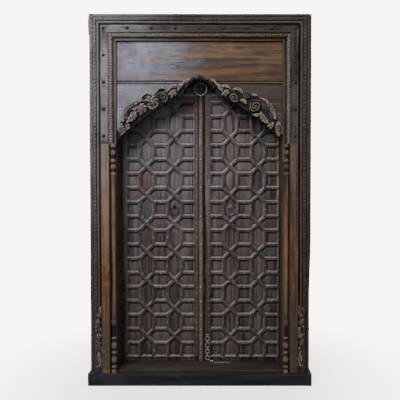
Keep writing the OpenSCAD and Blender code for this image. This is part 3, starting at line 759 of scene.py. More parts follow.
def path_distance(x, z, points):
    """Distance from a drawn path and how far along it (0 to 1), on a grid."""
    lengths = [math.dist(p, q) for p, q in zip(points, points[1:])]
    total, run = sum(lengths), 0.0
    best = np.full(x.shape, 1e9)
    along = np.zeros(x.shape)
    for (ax, az), (bx, bz), length in zip(points, points[1:], lengths):
        ux, uz = (bx - ax) / length, (bz - az) / length
        t = np.clip((x - ax) * ux + (z - az) * uz, 0, length)
        d = np.hypot(x - ax - t * ux, z - az - t * uz)
        near = d < best
        best = np.where(near, d, best)
        along = np.where(near, (run + t) / total, along)
        run += length
    return best, along


def bow(start, end, rise, steps=10):
    """Points of a parabolic arc from start to end that rises to its left."""
    (ax, az), (bx, bz) = start, end
    dx, dz = bx - ax, bz - az
    length = math.hypot(dx, dz)
    points = []
    for t in (i / steps for i in range(steps + 1)):
        s = 4 * rise * t * (1 - t) / length
        points.append((ax + dx * t - dz * s, az + dz * t + dx * s))
    return points


def inside(x, z, outline):
    """Grid points inside a closed outline."""
    result = np.zeros(x.shape, bool)
    for (ax, az), (bx, bz) in zip(outline, outline[1:] + outline[:1]):
        if az != bz:
            crosses = (az > z) != (bz > z)
            result ^= crosses & (x < (bx - ax) * (z - az) / (bz - az) + ax)
    return result


def softened(h, cells):
    """Box-blurred copy of a height grid."""
    out = h.copy()
    for axis in (0, 1):
        padded = np.pad(out, [(cells, cells) if a == axis else (0, 0) for a in (0, 1)], "edge")
        total = np.cumsum(np.insert(padded, 0, 0, axis), axis)
        n = 2 * cells + 1
        size = h.shape[axis]
        upper = np.take(total, range(n, n + size), axis)
        lower = np.take(total, range(size), axis)
        out = (upper - lower) / n
    return out


class Relief:
    """Carved heights on a grid. Each cut's own height is a share of the relief's top."""

    def __init__(self, x, z, h, top):
        self.x, self.z, self.h, self.top = x, z, h, top

    def leaf(self, path, width, share, lobes=4):
        """A leaf along a path: swelling body, lobed edge, midrib and side veins."""
        d, t = path_distance(self.x, self.z, path)
        half = width * np.sin(np.pi * np.clip(t * 0.93 + 0.05, 0, 1)) ** 0.7
        half = half * (1 + 0.16 * np.cos(2 * np.pi * lobes * t))
        q = np.clip(d / np.maximum(half, 0.1), 0, 1)
        body = self.top * share * (0.34 + 0.66 * np.sqrt(1 - q**2))
        body = body - 3.6 * np.exp(-((d / 1.9) ** 2))
        body = body + 1.5 * np.cos(2 * np.pi * (lobes * 1.5 * t - d / width * 0.9)) * q
        np.copyto(self.h, np.maximum(self.h, body), where=(q < 1))

    def scroll(self, cx, cz, r, share, hand=1, start=0.0):
        """A volute: a ridge that winds in to a round eye, with a deep channel between turns."""
        turns, top = 1.6, self.top * share
        rho = np.hypot(self.x - cx, self.z - cz)
        angle = (np.arctan2(self.z - cz, self.x - cx) * hand + start) % (2 * np.pi)
        gap = np.full(rho.shape, 1e9)
        for k in range(3):
            turn = angle / (2 * np.pi) + k
            ridge = r * (0.84 - 0.62 * turn / turns)
            gap = np.where(turn < turns, np.minimum(gap, np.abs(rho - ridge)), gap)
        body = top * (0.22 + 0.78 * np.exp(-((gap / (0.15 * r)) ** 2)))
        body = np.maximum(body, top * 0.95 * np.sqrt(np.clip(1 - (rho / (0.26 * r)) ** 2, 0, 1)))
        np.copyto(self.h, body, where=(rho < r))

    def rosette(self, cx, cz, r, share, petals=6, hatch=0.0):
        """A full flower: two rows of cupped petals that turn round a pierced button."""
        x, z, top = self.x, self.z, self.top * share
        rho = np.hypot(x - cx, z - cz)
        angle = np.arctan2(z - cz, x - cx)
        whole = rho < 0
        body = np.zeros(x.shape)
        for size, phase, low in ((1.0, 0.0, 0.30), (0.66, 0.5, 0.52)):
            lobe = np.abs(np.cos(petals * (angle + 0.016 * rho) / 2 + phase * np.pi)) ** 0.6
            q = np.clip(rho / (r * size * (0.78 + 0.22 * lobe)), 0, 1)
            row = top * (low + (0.94 - low) * np.sqrt(1 - q**2)) * (0.70 + 0.30 * lobe)
            body = np.where(q < 1, np.maximum(body, row), body)
            whole = whole | (q < 1)
        eye = rho / (0.24 * r)
        body = np.where(eye < 1.25, top * 0.42, body)
        body = np.where(eye < 1, top * (0.66 + 0.34 * np.sqrt(np.clip(1 - eye**2, 0, 1))), body)
        if hatch:
            body = body + hatch * np.sin((x + z) * 0.62) * np.sin((x - z) * 0.62)
        np.copyto(self.h, body, where=whole)

    def hollow(self, path, width, floor):
        """A dark undercut hollow along a path."""
        d, t = path_distance(self.x, self.z, path)
        half = width * np.sin(np.pi * np.clip(t * 0.9 + 0.05, 0, 1)) ** 0.6
        cut = np.clip(1.6 * (1 - d / np.maximum(half, 0.1)), 0, 1)
        np.copyto(self.h, self.h * (1 - cut) + floor * cut)


def relief_piece(name, x, z, h, mask, back, slot, material, replaces=(), gain=1.0):
    """Close a carved height grid into a solid with a flat back and upright edges."""
    cells = mask[:-1, :-1] & mask[1:, :-1] & mask[:-1, 1:] & mask[1:, 1:]
    rows, cols = h.shape
    # crests rubbed; hollows and the low ground between motifs given painted shade, the hidden back
    # too
    wear = 0.55 * (h - softened(h, 7)) / 5.0 + 0.45 * (h - softened(h, 2)) / 2.4
    soot = np.clip(1.3 - h / (0.48 * h.max()), 0, 1)
    wear = np.clip(gain * (wear - 0.08) - 0.9 * soot, -1, 1)
    index = np.arange(rows * cols).reshape(rows, cols)
    a, b, c, d = (index[:-1, :-1][cells], index[:-1, 1:][cells],
                  index[1:, 1:][cells], index[1:, :-1][cells])
    top = np.stack([a, b, c, d], 1)
    shift = rows * cols
    walls = []
    padded = np.pad(cells, 1)
    for di, dj, first, second in ((-1, 0, a, b), (1, 0, c, d), (0, -1, d, a), (0, 1, b, c)):
        open_side = ~padded[1 + di : rows + di, 1 + dj : cols + dj][cells]
        p, q = first[open_side], second[open_side]
        walls.append(np.stack([q, p, p + shift, q + shift], 1))
    walls = np.concatenate(walls)
    faces = np.concatenate([top, top[:, ::-1] + shift, walls])
    used, packed = np.unique(faces, return_inverse=True)
    px, pz = np.tile(x.ravel(), 2), np.tile(z.ravel(), 2)
    py = np.concatenate([back - h.ravel(), np.full(shift, float(back))])
    faces = packed.reshape(faces.shape)
    rim = np.zeros(len(used), bool)
    rim[np.searchsorted(used, np.unique(walls))] = True
    shape = Shape()
    shape.points = smooth_rim(np.stack([px, py, pz], 1)[used], faces, rim).tolist()
    shape.faces = faces.tolist()
    shape.wear = np.concatenate([wear.ravel(), np.full(shift, -0.6)])[used].tolist()
    shape.tone = [0.0] * len(used)
    finish_piece(shape, name, "frame", slot, material, replaces, 70)


def smooth_rim(points, faces, rim):
    """Ease the stepped edge of a relief in X and Z."""
    edges = np.concatenate([faces[:, [i, (i + 1) % 4]] for i in range(4)])
    start, end = points[edges[:, 0]], points[edges[:, 1]]
    level = np.abs(start[:, 0] - end[:, 0]) + np.abs(start[:, 2] - end[:, 2]) > 1e-6
    edges = edges[rim[edges[:, 0]] & rim[edges[:, 1]] & level]
    for _ in range(3):
        total = np.zeros_like(points)
        count = np.zeros(len(points))
        for i, j in ((0, 1), (1, 0)):
            np.add.at(total, edges[:, i], points[edges[:, j]])
            np.add.at(count, edges[:, i], 1)
        moved = count > 0
        mean = total[moved] / count[moved][:, None]
        for axis in (0, 2):
            points[moved, axis] = 0.5 * points[moved, axis] + 0.5 * mean[:, axis]
    return points


def grid(x0, x1, z0, z1, step):
    """X and Z of every point of a square grid."""
    return np.meshgrid(np.arange(x0, x1 + step * 0.5, step), np.arange(z0, z1 + step * 0.5, step))


def circle_arc(cx, cz, r, a0, a1):
    """Points of an arc, its angles in degrees."""
    angles = [math.radians(a) for a in spread(a0, a1, 10)]
    return [(cx + r * math.cos(a), cz + r * math.sin(a)) for a in angles]


carving_low = box_mm("left_arch_carving")[0]
SPRING = carving_low[2]
BOSS_TOP = BOARD_FRONT - carving_low[1]
LOBE_R = 100.0  # the round lobe at the crown, and the height of its centre
LOBE_Z = 1905.0


def hand_warp(x, z, seed):
    """Drift of a few millimetres that keeps repeated forms from matching."""
    dx = 3.2 * np.sin(z * 0.061 + seed) + 1.6 * np.sin(x * 0.13 + z * 0.09 + 2 * seed)
    dz = 2.8 * np.sin(x * 0.057 + 1.3 * seed) + 1.4 * np.sin(z * 0.14 - x * 0.08 + seed)
    return x + dx, z + dz


def left_motifs(cut):
    """Foliage of the left arm, from the foot of the arch to its crown."""
    cut.leaf(bow((-470, 1615), (-512, 1712), 12), 26, 0.72, 5)
    cut.leaf(bow((-500, 1618), (-534, 1690), -6), 15, 0.62, 4)
    cut.leaf(bow((-450, 1640), (-470, 1722), 8), 17, 0.66, 4)
    cut.leaf([(-500, 1725), (-500, 1760), (-482, 1798), (-452, 1834), (-404, 1866)],
             17, 0.7, 7)
    cut.hollow([(-474, 1748), (-462, 1778), (-436, 1806)], 13, 4)
    cut.leaf([(-478, 1716), (-450, 1738), (-420, 1768), (-414, 1808)], 17, 0.94, 4)
    cut.rosette(-379, 1806, 38, 0.98, 6, 0.8)
    cut.leaf(circle_arc(-380, 1812, 50, 150, 55), 13, 0.9, 5)
    cut.hollow(bow((-372, 1858), (-346, 1884), 4), 10, 4)
    cut.leaf(circle_arc(-338, 1868, 38, 165, 60), 11, 0.68, 3)
    cut.rosette(-308, 1858, 43, 1.0, 7)
    cut.leaf(bow((-338, 1822), (-276, 1832), -10), 13, 0.8, 4)
    cut.leaf(circle_arc(-248, 1892, 50, 170, 70), 11, 0.66, 5)
    cut.hollow(circle_arc(-240, 1896, 33, 150, 60), 9, 4)
    cut.scroll(-232, 1880, 33, 0.94, 1, 2.0)
    cut.leaf(bow((-204, 1930), (-140, 1952), 10), 16, 0.8, 4)
    cut.rosette(-176, 1912, 31, 0.94, 5)
    cut.leaf(bow((-146, 1920), (-104, 1968), 8), 15, 0.84, 4)
    cut.hollow(bow((-206, 1898), (-200, 1922), 3), 6, 5)
    cut.leaf(bow((-112, 1968), (-52, 2002), 6), 12, 0.7, 4)


def right_motifs(cut):
    """Foliage of the right arm, drawn on the left and turned over."""
    cut.leaf(bow((-508, 1632), (-510, 1722), 6), 22, 0.74, 5)
    cut.leaf(bow((-528, 1640), (-534, 1700), 4), 12, 0.62, 4)
    cut.rosette(-466, 1700, 24, 0.86, 5)
    cut.leaf(bow((-400, 1786), (-450, 1716), 14), 20, 0.8, 5)
    cut.leaf([(-488, 1742), (-488, 1776), (-466, 1822), (-430, 1860), (-392, 1878)],
             15, 0.66, 7)
    cut.hollow([(-458, 1766), (-444, 1796), (-420, 1816)], 12, 4)
    cut.scroll(-362, 1824, 42, 1.0, -1, 0.6)
    cut.leaf(bow((-342, 1776), (-396, 1770), 6), 12, 0.78, 3)
    cut.hollow(circle_arc(-360, 1838, 46, 125, 60), 9, 4)
    cut.leaf(circle_arc(-350, 1846, 56, 120, 62), 10, 0.62, 4)
    cut.scroll(-312, 1892, 26, 0.86, 1, 1.2)
    cut.leaf(bow((-300, 1838), (-262, 1862), 8), 14, 0.82, 4)
    cut.scroll(-226, 1882, 34, 0.96, 1, 2.4)
    cut.leaf(circle_arc(-232, 1888, 52, 160, 66), 10, 0.66, 5)
    cut.hollow(circle_arc(-232, 1886, 40, 140, 80), 5, 5)
    cut.leaf(bow((-196, 1934), (-136, 1952), 8), 15, 0.8, 4)
    cut.rosette(-172, 1912, 28, 0.9, 5)
    cut.leaf(bow((-146, 1920), (-104, 1968), 8), 15, 0.84, 4)
    cut.leaf(bow((-112, 1968), (-52, 2002), 6), 12, 0.7, 4)


def arch_carving(side, sign, motifs, material):
    """Foliage of one arm of the arch, drawn on the left and turned over for the right."""
    lower = bow((-OPENING, SPRING), (-LOBE_R, LOBE_Z), 25, 14)
    lower += [(-LOBE_R * math.cos(a), LOBE_Z + LOBE_R * math.sin(a))
              for a in [math.pi / 2 * i / 10 for i in range(1, 11)]]
    x, z = grid(-OPENING, 0.0, SPRING, LOBE_Z + LOBE_R, sizes().relief_step)
    d_low, along = path_distance(x, z, lower)
    outer = -OPENING - 50
    above = inside(x, z, lower + [(0, TOP), (outer, TOP), (outer, SPRING)])
    band = 74 * np.clip((0.97 - along) / 0.22, 0.22, 1) + 8 * np.sin(along * 46)
    band = band * np.clip(0.55 + along * 3, 0.6, 1)
    h = np.where(above & (d_low < band), 4 + 1.2 * np.sin(x * 0.21) * np.sin(z * 0.23), 0.0)
    motifs(Relief(*hand_warp(x, z, 1.0 + sign), h, BOSS_TOP))
    h[:] = h * np.clip(0.25 + d_low / 11, 0, 1)
    scallop = 4 + 3 * np.sin(along * 62) + 1.5 * np.sin(along * 148)
    mask = above & (h > 2.0) & (z < BATTEN_Z + 30) & ((h > 9) | (d_low > scallop))
    tool = 0.7 * np.sin(x * 0.55 + 2 * np.sin(z * 0.11)) * np.cos(z * 0.61 + 2 * np.sin(x * 0.09))
    h[:] = np.clip(h + tool * (h > 8), 3, BOSS_TOP)
    relief_piece(f"{side}_arch_foliage", x * -sign, z, h, mask, BOARD_FRONT, "weathered_teak",
                 material, (f"{side}_arch_carving",), 1.15)


def crown_carving():
    """Dark leaves that fan out round the crown of the arch."""
    x, z = grid(-132, 132, LOBE_Z + 20, LOBE_Z + 132, sizes().relief_step)
    rho, angle = np.hypot(x, z - LOBE_Z), np.arctan2(z - LOBE_Z, x)
    h = np.where((rho > LOBE_R - 4) & (rho < 105), 7.0, 0.0)
    cut = Relief(*hand_warp(x, z, 4.0), h, BOSS_TOP)
    for k, a in enumerate(spread(18, 162, 10)):
        lean = 13 if k < 5 else (-13 if k > 5 else 0)
        foot, tip = ((r * math.cos(math.radians(b)), LOBE_Z + r * math.sin(math.radians(b)))
                     for r, b in ((86 + 3 * (k % 2), a), (110 + 4 * (k % 3), a + lean)))
        cut.leaf(bow(foot, tip, 4 if k % 2 else -4), 13, 0.8 + 0.1 * (k % 3), 3)
    h[:] = h * np.clip(0.35 + (rho - 84) / 16, 0, 1)
    mask = (h > 3) & (rho > 85) & (np.sin(angle) > 0.24)
    relief_piece("crown_leaves", x, z, np.clip(h, 3, BOSS_TOP), mask, BOARD_FRONT,
                 "weathered_teak", "crown")


class DOOR_OT_arch_carvings(bpy.types.Operator):
    """Carved foliage that follows the arch on both sides and round its crown"""
    bl_idname = "door.arch_carvings"
    bl_label = "Arch carvings"

    def execute(self, context):
        arch_carving("left", -1, left_motifs, "carved")
        arch_carving("right", 1, right_motifs, "carved_gold")
        crown_carving()
        return {"FINISHED"}


# ---------------------------------------------------------------- columns and pilasters

def bulge(z0, z1, r0, r1, petals=0, n=8):
    """Stations of a turned bulb: height, radius, petal depth and petal count."""
    swell = [math.sin(math.pi * i / n) for i in range(n + 1)]
    return [(z, r0 + (r1 - r0) * s, 0.10 * s if petals else 0.0, petals)
            for z, s in zip(spread(z0, z1, n), swell)]


def turned(shape, cx, cy, stations, reach):
    """A turned and petal-carved upright about an axis, never wider than its reach."""
    sides, rings, wear = 40, [], []
    for k, (z, r, depth, petals) in enumerate(stations):
        near = [s[1] for s in stations[max(0, k - 3) : k + 4]]
        # bulges rubbed; necks and petal grooves given painted shade
        rub = max(-1, min(0.9, (r - sum(near) / len(near)) / 2.2))
        handled = 0.55 if z < 600 else 0.25
        ring = []
        for i in range(sides):
            a = 2 * math.pi * i / sides
            groove = abs(math.cos(petals * a / 2)) if petals else 1.0
            radius = min(r, reach) * (1 - depth * (1 - groove) * 2.2)
            ring.append((cx + radius * math.cos(a), cy + radius * math.sin(a), z))
            worn = rub + 0.9 * (groove - 0.75) if petals else rub
            wear.append(worn * handled if worn > 0 else 1.3 * worn - 0.08)
        rings.append(ring)
    shape.skin(rings, wear)


def column_stations(low, high, r):
    """From the foot on the sill to the block under the rope moulding."""
    def plain(*pairs):
        return [(z, radius, 0.0, 0) for z, radius in pairs]
    neck = r - 3
    s = plain((low, r), (low + 22, r), (low + 25, neck), (low + 30, neck))
    s += bulge(low + 32, low + 50, neck, r, 0, 5)
    s += bulge(low + 56, low + 124, neck - 5, r, 8)
    s += bulge(low + 128, low + 144, neck, r, 0, 4)
    s += bulge(low + 148, low + 216, neck - 5, r, 10)
    s += bulge(low + 222, low + 240, neck - 4, r, 0, 4)
    s += plain((low + 250, neck - 4), (low + 312, neck - 2))
    s += bulge(low + 322, low + 356, neck, r, 12)
    s += plain(*((z, neck - 0.4 + 0.4 * math.sin(i * 1.9))
                 for i, z in enumerate(spread(low + 372, high - 212, 24))))
    s += bulge(high - 206, high - 190, neck, r, 0, 4)
    s += plain((high - 176, neck - 3))
    s += bulge(high - 170, high - 130, neck - 3, r, 10)
    s += bulge(high - 124, high - 96, neck - 3, r, 0, 4)
    s += bulge(high - 80, high - 34, neck - 4, r, 8)
    return s + plain((high - 24, neck), (high - 22, r), (high, r))


class DOOR_OT_columns(bpy.types.Operator):
    """Turned columns beside the opening"""
    bl_idname = "door.columns"
    bl_label = "Columns"

    def execute(self, context):
        for side, material in (("left", "column"), ("right", "column_gold")):
            node = side + "_column"
            low, high = box_mm(node)
            cx, cy, _ = middle(low, high)
            r = (high[0] - low[0]) / 2
            shape = Shape()
            turned(shape, cx, cy, column_stations(low[2], high[2], r), r)
            finish_piece(shape, node + "_turned", "frame", "dark_teak", material, (node,), 35)
        return {"FINISHED"}


def pilaster_relief(side, sign, low, high):
    """Front of a pilaster: flowers and leaves climbing to its top, deeply undercut."""
    x0, x1 = low[0] + 0.5, high[0] - 0.5
    z0, z1 = low[2] + 40, high[2] - 0.5
    x, z = grid(x0, x1, z0, z1, 1.5)
    u, v = hand_warp((x - (x0 + x1) / 2) * sign, z - z0, 2.0 + sign)
    deep = POST_FRONT - low[1]
    h = np.full(x.shape, deep * 0.16)
    cut = Relief(u, v, h, deep)
    cut.leaf(bow((0, -6), (-15, 62), 8), 13, 0.8, 4)
    cut.leaf(bow((4, -6), (17, 58), -8), 13, 0.76, 4)
    cut.leaf(bow((0, 40), (0, 104), 3), 14, 0.86, 5)
    cut.leaf(bow((-18, 84), (-8, 136), 7), 10, 0.72, 3)
    cut.leaf(bow((18, 92), (6, 150), -7), 11, 0.8, 4)
    cut.scroll(-4, 156, 18, 0.92, -1, 0.4)
    cut.leaf(bow((16, 150), (14, 196), 6), 10, 0.78, 3)
    cut.rosette(0, 204, 22, 1.0, 6)
    cut.leaf(bow((-18, 214), (-8, 262), 6), 10, 0.8, 4)
    cut.leaf(bow((17, 222), (4, 280), -8), 12, 0.9, 4)
    cut.scroll(-5, 290, 17, 0.94, 1, 2.0)
    cut.leaf(bow((18, 286), (8, 330), 6), 10, 0.84, 3)
    cut.rosette(-1, 338, 19, 0.96, 5)
    cut.leaf(bow((-16, 346), (-6, 404), 6), 11, 0.84, 4)
    cut.leaf(bow((15, 352), (6, 412), -6), 11, 0.8, 4)
    fade = np.clip((z1 - z) / 26, 0.5, 1)
    edge = np.clip(np.minimum(x - x0, x1 - x) / 5, 0.45, 1)
    pierced = np.clip(np.sin(u * 0.44 + 1.5 * np.sin(v * 0.07)) * np.sin(v * 0.36 + u * 0.1), 0, 1)
    h[:] = np.clip(h * fade * edge - deep * 0.5 * pierced**2 * (v > 60), 2, deep)
    relief_piece(f"{side}_pilaster_flowers", x, z, h, np.ones(x.shape, bool), POST_FRONT,
                 "dark_teak", "carved_dark", gain=1.25)


class DOOR_OT_pilasters(bpy.types.Operator):
    """Floral pilasters on the foot of each post"""
    bl_idname = "door.pilasters"
    bl_label = "Floral pilasters"

    def execute(self, context):
        for side, sign in SIDES:
            node = side + "_floral_pilaster"
            low, high = box_mm(node)
            foot, back, ease = low[2], POST_FRONT - 0.2, 2.0
            shape = Shape()
            for x0, x1, front, z0, z1 in (
                    (low[0], high[0], low[1], foot, foot + 26),
                    (low[0] + 2, high[0] - 2, low[1] + 3, foot + 26, foot + 34),
                    (low[0] + 1, high[0] - 1, low[1] + 1, foot + 34, foot + 42)):
                shape.skin([[(x0 + i, front + i, z), (x1 - i, front + i, z),
                             (x1 - i, back, z), (x0 + i, back, z)]
                            for z, i in ((z0, ease), (z0 + ease, 0), (z1 - ease, 0), (z1, ease))],
                           0.1)
            finish_piece(shape, node + "_plinth", "frame", "dark_teak", "carved_dark", (node,), 35)
            pilaster_relief(side, sign, low, high)
        return {"FINISHED"}


class DOOR_OT_corner_carving(bpy.types.Operator):
    """Swirling leaves on the bulging top left corner of the outer moulding"""
    bl_idname = "door.corner_carving"
    bl_label = "Corner carving"

    def execute(self, context):
        deep, past = POST_FRONT - FACE, 9  # past: how far it bulges over the frame's edge
        x, z = grid(-EDGE - past, -EDGE + 27, TOP - 150, TOP - 1, 1.5)
        u, v = x + EDGE, z - TOP
        swell = -past * np.clip(np.sin(np.pi * np.clip((v + 150) / 162, 0, 1)), 0, 1) ** 0.8
        round_off = np.hypot(np.minimum(u - 14, 0), np.maximum(v + 20, 0)) < 22
        mask = (u > swell) & (round_off | (v < -20) | (u > 14))
        h = np.full(x.shape, deep * 0.55)
        cut = Relief(u, v, h, deep)
        for k in range(5):
            z0 = -146 + 29 * k
            cut.leaf(bow((26 - k, z0 - 6), (-5 + k, z0 + 34), 6), 9.5, 0.94, 3)
        cut.leaf(bow((-2, -20), (27, -8), 5), 9, 0.94, 3)
        edge = np.clip(0.55 + (u - swell) / 12, 0, 1)
        h[:] = np.clip(h * edge, 4, deep)
        relief_piece("corner_leaves", x, z, h, mask, POST_FRONT, "weathered_teak", "frame")
        return {"FINISHED"}


# ---------------------------------------------------------------- the leaves' faces

BAR_TOP = 17.6  # highest point of a lattice bar above the boards
# section of a lattice tile: distance from the middle of the bar, height above the boards, wear and
# painted shade
BAR_PROFILE = [(0.15, 0.2, -0.9), (0.15, 13.6, -0.7), (1.1, 13.8, -0.6), (2.0, 16.2, 0.25),
               (3.6, 17.0, 0.5), (5.2, 16.2, 0.3), (6.2, 13.4, -0.55), (7.2, 13.9, 0.1),
               (9.0, 13.2, 0.3), (11.2, 11.2, 0.12), (14.4, 7.0, 0.0), (17.6, 2.8, -0.2),
               (19.2, 1.4, -0.6), (20.6, 2.2, -0.4), (22.2, 4.2, 0.15), (24.0, 4.8, 0.1),
               (29.0, 5.0, 0.0)]


COLS, ROWS = 5, 18  # openings across and up one lattice


def opening_size(low, high):
    """Width and height of one opening of a lattice."""
    return (high[0] - low[0]) / COLS, (high[2] - low[2]) / ROWS


def module_outline(col, row, w, h):
    """Centre lines of the bars round one opening, held inside the lattice's field."""
    cx, cz, a, b = (col + 0.5) * w, (row + 0.5) * h, w / 2, h / 2
    if col % 2 == 0 and row % 2 == 0:
        return [(cx - a, cz - b), (cx + a, cz - b), (cx + a, cz + b), (cx - a, cz + b)]
    if col % 2:
        points = [(cx, cz - 2 * b), (cx + a, cz - b), (cx + a, cz + b), (cx, cz + 2 * b),
                  (cx - a, cz + b), (cx - a, cz - b)]
    else:
        points = [(cx - 2 * a, cz), (cx - a, cz - b), (cx + a, cz - b), (cx + 2 * a, cz),
                  (cx + a, cz + b), (cx - a, cz + b)]
    for axis, limit, sign in ((0, 0, 1), (0, COLS * w, -1), (1, 0, 1), (1, ROWS * h, -1)):
        points = clip_half(points, axis, limit, sign)
    return points


def clip_half(points, axis, limit, sign):
    """Cut a convex outline at one edge of the field."""
    kept = []
    for p, q in zip(points, points[1:] + points[:1]):
        dp, dq = (p[axis] - limit) * sign, (q[axis] - limit) * sign
        if dp >= -1e-6:
            kept.append(p)
        if (dp > 1e-6 and dq < -1e-6) or (dp < -1e-6 and dq > 1e-6):
            t = dp / (dp - dq)
            kept.append((p[0] + (q[0] - p[0]) * t, p[1] + (q[1] - p[1]) * t))
    return kept


def inset_outline(points, d):
    """A convex anticlockwise outline moved in by d."""
    moved = []
    for (ax, az), (bx, bz), (cx, cz) in zip(points[-1:] + points, points, points[1:] + points):
        l1, l2 = math.hypot(bx - ax, bz - az), math.hypot(cx - bx, cz - bz)
        n1, n2 = (-(bz - az) / l1, (bx - ax) / l1), (-(cz - bz) / l2, (cx - bx) / l2)
        scale = d / (1 + n1[0] * n2[0] + n1[1] * n2[1])
        moved.append((bx + (n1[0] + n2[0]) * scale, bz + (n1[1] + n2[1]) * scale))
    return moved


def mean_point(points):
    return [sum(p[axis] for p in points) / len(points) for axis in (0, 1)]


def inner_radius(points):
    """Distance from the middle of an outline to its nearest edge."""
    mx, mz = mean_point(points)
    return min(abs((bx - ax) * (mz - az) - (bz - az) * (mx - ax)) / math.hypot(bx - ax, bz - az)
               for (ax, az), (bx, bz) in zip(points, points[1:] + points[:1]))


def lattice_tile(shape, outline, x0, z0, board, tone, rng):
    """One opening with the half bars round it and its raised field, as a closed tile."""
    limit = inner_radius(outline) * 0.8
    scale = sizes().bar_half / 11.0
    gap = 13.0  # distance between points along a bar
    pieces = [max(1, round(math.dist(p, q) / gap))
              for p, q in zip(outline, outline[1:] + outline[:1])]
    phase = rng.uniform(0, 6.28, 3)
    rise = rng.normal(0, 0.45)
    tilt = rng.normal(0, 0.010, 2)
    mx, mz = mean_point(outline)
    rings, wear = [], []
    for k, (d, height, rub) in enumerate(BAR_PROFILE):
        corners = inset_outline(outline, min(d * scale, limit * (0.75 + 0.016 * k)))
        ring = []
        for count, p, q in zip(pieces, corners, corners[1:] + corners[:1]):
            length = max(math.dist(p, q), 0.1)
            up, left = (q[0] - p[0]) / length, (q[1] - p[1]) / length
            # painted light and shade, with a little dust: slopes facing up and to the left lighter,
            # those facing down and to the right darker
            dust = (0.56 * up + 0.33 * left) * (5 < k < 13)
            for t in (j / count for j in range(count)):
                px, pz = p[0] + (q[0] - p[0]) * t, p[1] + (q[1] - p[1]) * t
                y = height
                if k > 1:
                    wave = 0.5 * (math.sin(px * 0.05 + phase[0]) + math.sin(pz * 0.06 + phase[1]))
                    lean = rise + (px - mx) * tilt[0] + (pz - mz) * tilt[1]
                    y = height + 0.5 * wave + lean * (k > 12)
                    shove = 0.55 * math.sin(px * 0.11 + pz * 0.09 + phase[2] + k) * (k > 3)
                    px += shove * (mx - px) / 40.0
                    pz += shove * (mz - pz) / 40.0
                ring.append((x0 + px, board - min(max(y, 0.2), BAR_TOP), z0 + pz))
                wear.append(max(-1.0, min(1.0, rub + dust + rng.normal(0, 0.14))))
        rings.append(ring)
    shape.skin(rings, wear, tone)


def lattice_face(side):
    """All the openings of one lattice, with the joint between the two boards behind it."""
    node = side + "_lattice"
    low, high = box_mm(node)
    w, h = opening_size(low, high)
    rng = np.random.default_rng(71 if side == "left" else 72)
    shape = Shape()
    for row in range(ROWS + 1):
        for col in range(COLS):
            if col % 2 and row % 2:
                continue
            outline = module_outline(col, row, w, h)
            if len(outline) < 3 or inner_radius(outline) < 5:
                continue
            tone = float(np.clip(rng.normal(0.0, 0.5), -1, 1))
            lattice_tile(shape, outline, low[0], low[2], PLANK - 0.05, tone, rng)
            if col == COLS // 2:
                field = inset_outline(outline, 22.0 if inner_radius(outline) > 26 else 12.0)
                x, rows = (col + 0.5) * w + low[0], [p[1] for p in field]
                joint = [[(x + dx, PLANK - 0.1 - dy, low[2] + z)
                          for dx, dy in ((-1.3, 3), (-0.9, 6.4), (0.9, 6.4), (1.3, 3))]
                         for z in (min(rows), max(rows))]
                shape.skin(joint, -1.0)
    finish_piece(shape, node + "_carved", side + "_leaf", "dark_teak", "leaf", (node,), 32)


class DOOR_OT_lattices(bpy.types.Operator):
    """Carved lattice of squares and long hexagons on each leaf, with its small nails"""
    bl_idname = "door.lattices"
    bl_label = "Lattices"

    def execute(self, context):
        for side, _ in SIDES:
            lattice_face(side)
            low, high = box_mm(side + "_lattice")
            w, h = opening_size(low, high)
            points = [(low[0] + c * w, low[2] + (r + 0.5) * h)
                      for c in range(1, COLS) for r in range(0, ROWS, 2)]
            points += [(low[0] + (c + 0.5) * w, low[2] + r * h)
                       for c in range(0, COLS, 2) for r in range(1, ROWS)]
            nail_row(side + "_lattice_nail_heads", points, PLANK - 16.4, side + "_leaf",
                     "nail_iron", (5.2, 4.9, 3.4), 0.14, 9, (side + "_lattice_nails",))
        return {"FINISHED"}


# sections across a rib and up a top moulding, as shares of the width and of the depth
RIB_PROFILE = [(0.0, 0.0), (0.0, 0.55), (0.08, 0.80), (0.20, 0.86), (0.26, 0.66), (0.74, 0.66),
               (0.80, 0.86), (0.92, 0.80), (1.0, 0.55), (1.0, 0.0)]


TOP_PROFILE = [(0.0, 0.0), (0.0, 0.7), (0.06, 0.85), (0.14, 0.85), (0.19, 0.45), (0.24, 0.62),
               (0.62, 0.62), (0.67, 0.45), (0.72, 0.9), (0.82, 1.0), (0.92, 0.9), (0.97, 0.6),
               (1.0, 0.0)]

def rib(shape, x0, x1, back, deep, z0, z1, seed):
    """A straight moulded strip that stands on the boards."""
    rings = []
    for z in spread(z0, z1, max(2, round((z1 - z0) / 26))):
        lift = wobble(z, 0.35, seed, 120)
        rings.append([(x0 + (x1 - x0) * u, back - min(deep, deep * v + (lift if v > 0.3 else 0)), z)
                      for u, v in RIB_PROFILE])
    # crests rubbed, low parts given painted shade
    shape.skin(rings, [max(-1, min(1, (v - 0.74) * 5)) if v > 0 else 0 for _, v in RIB_PROFILE])


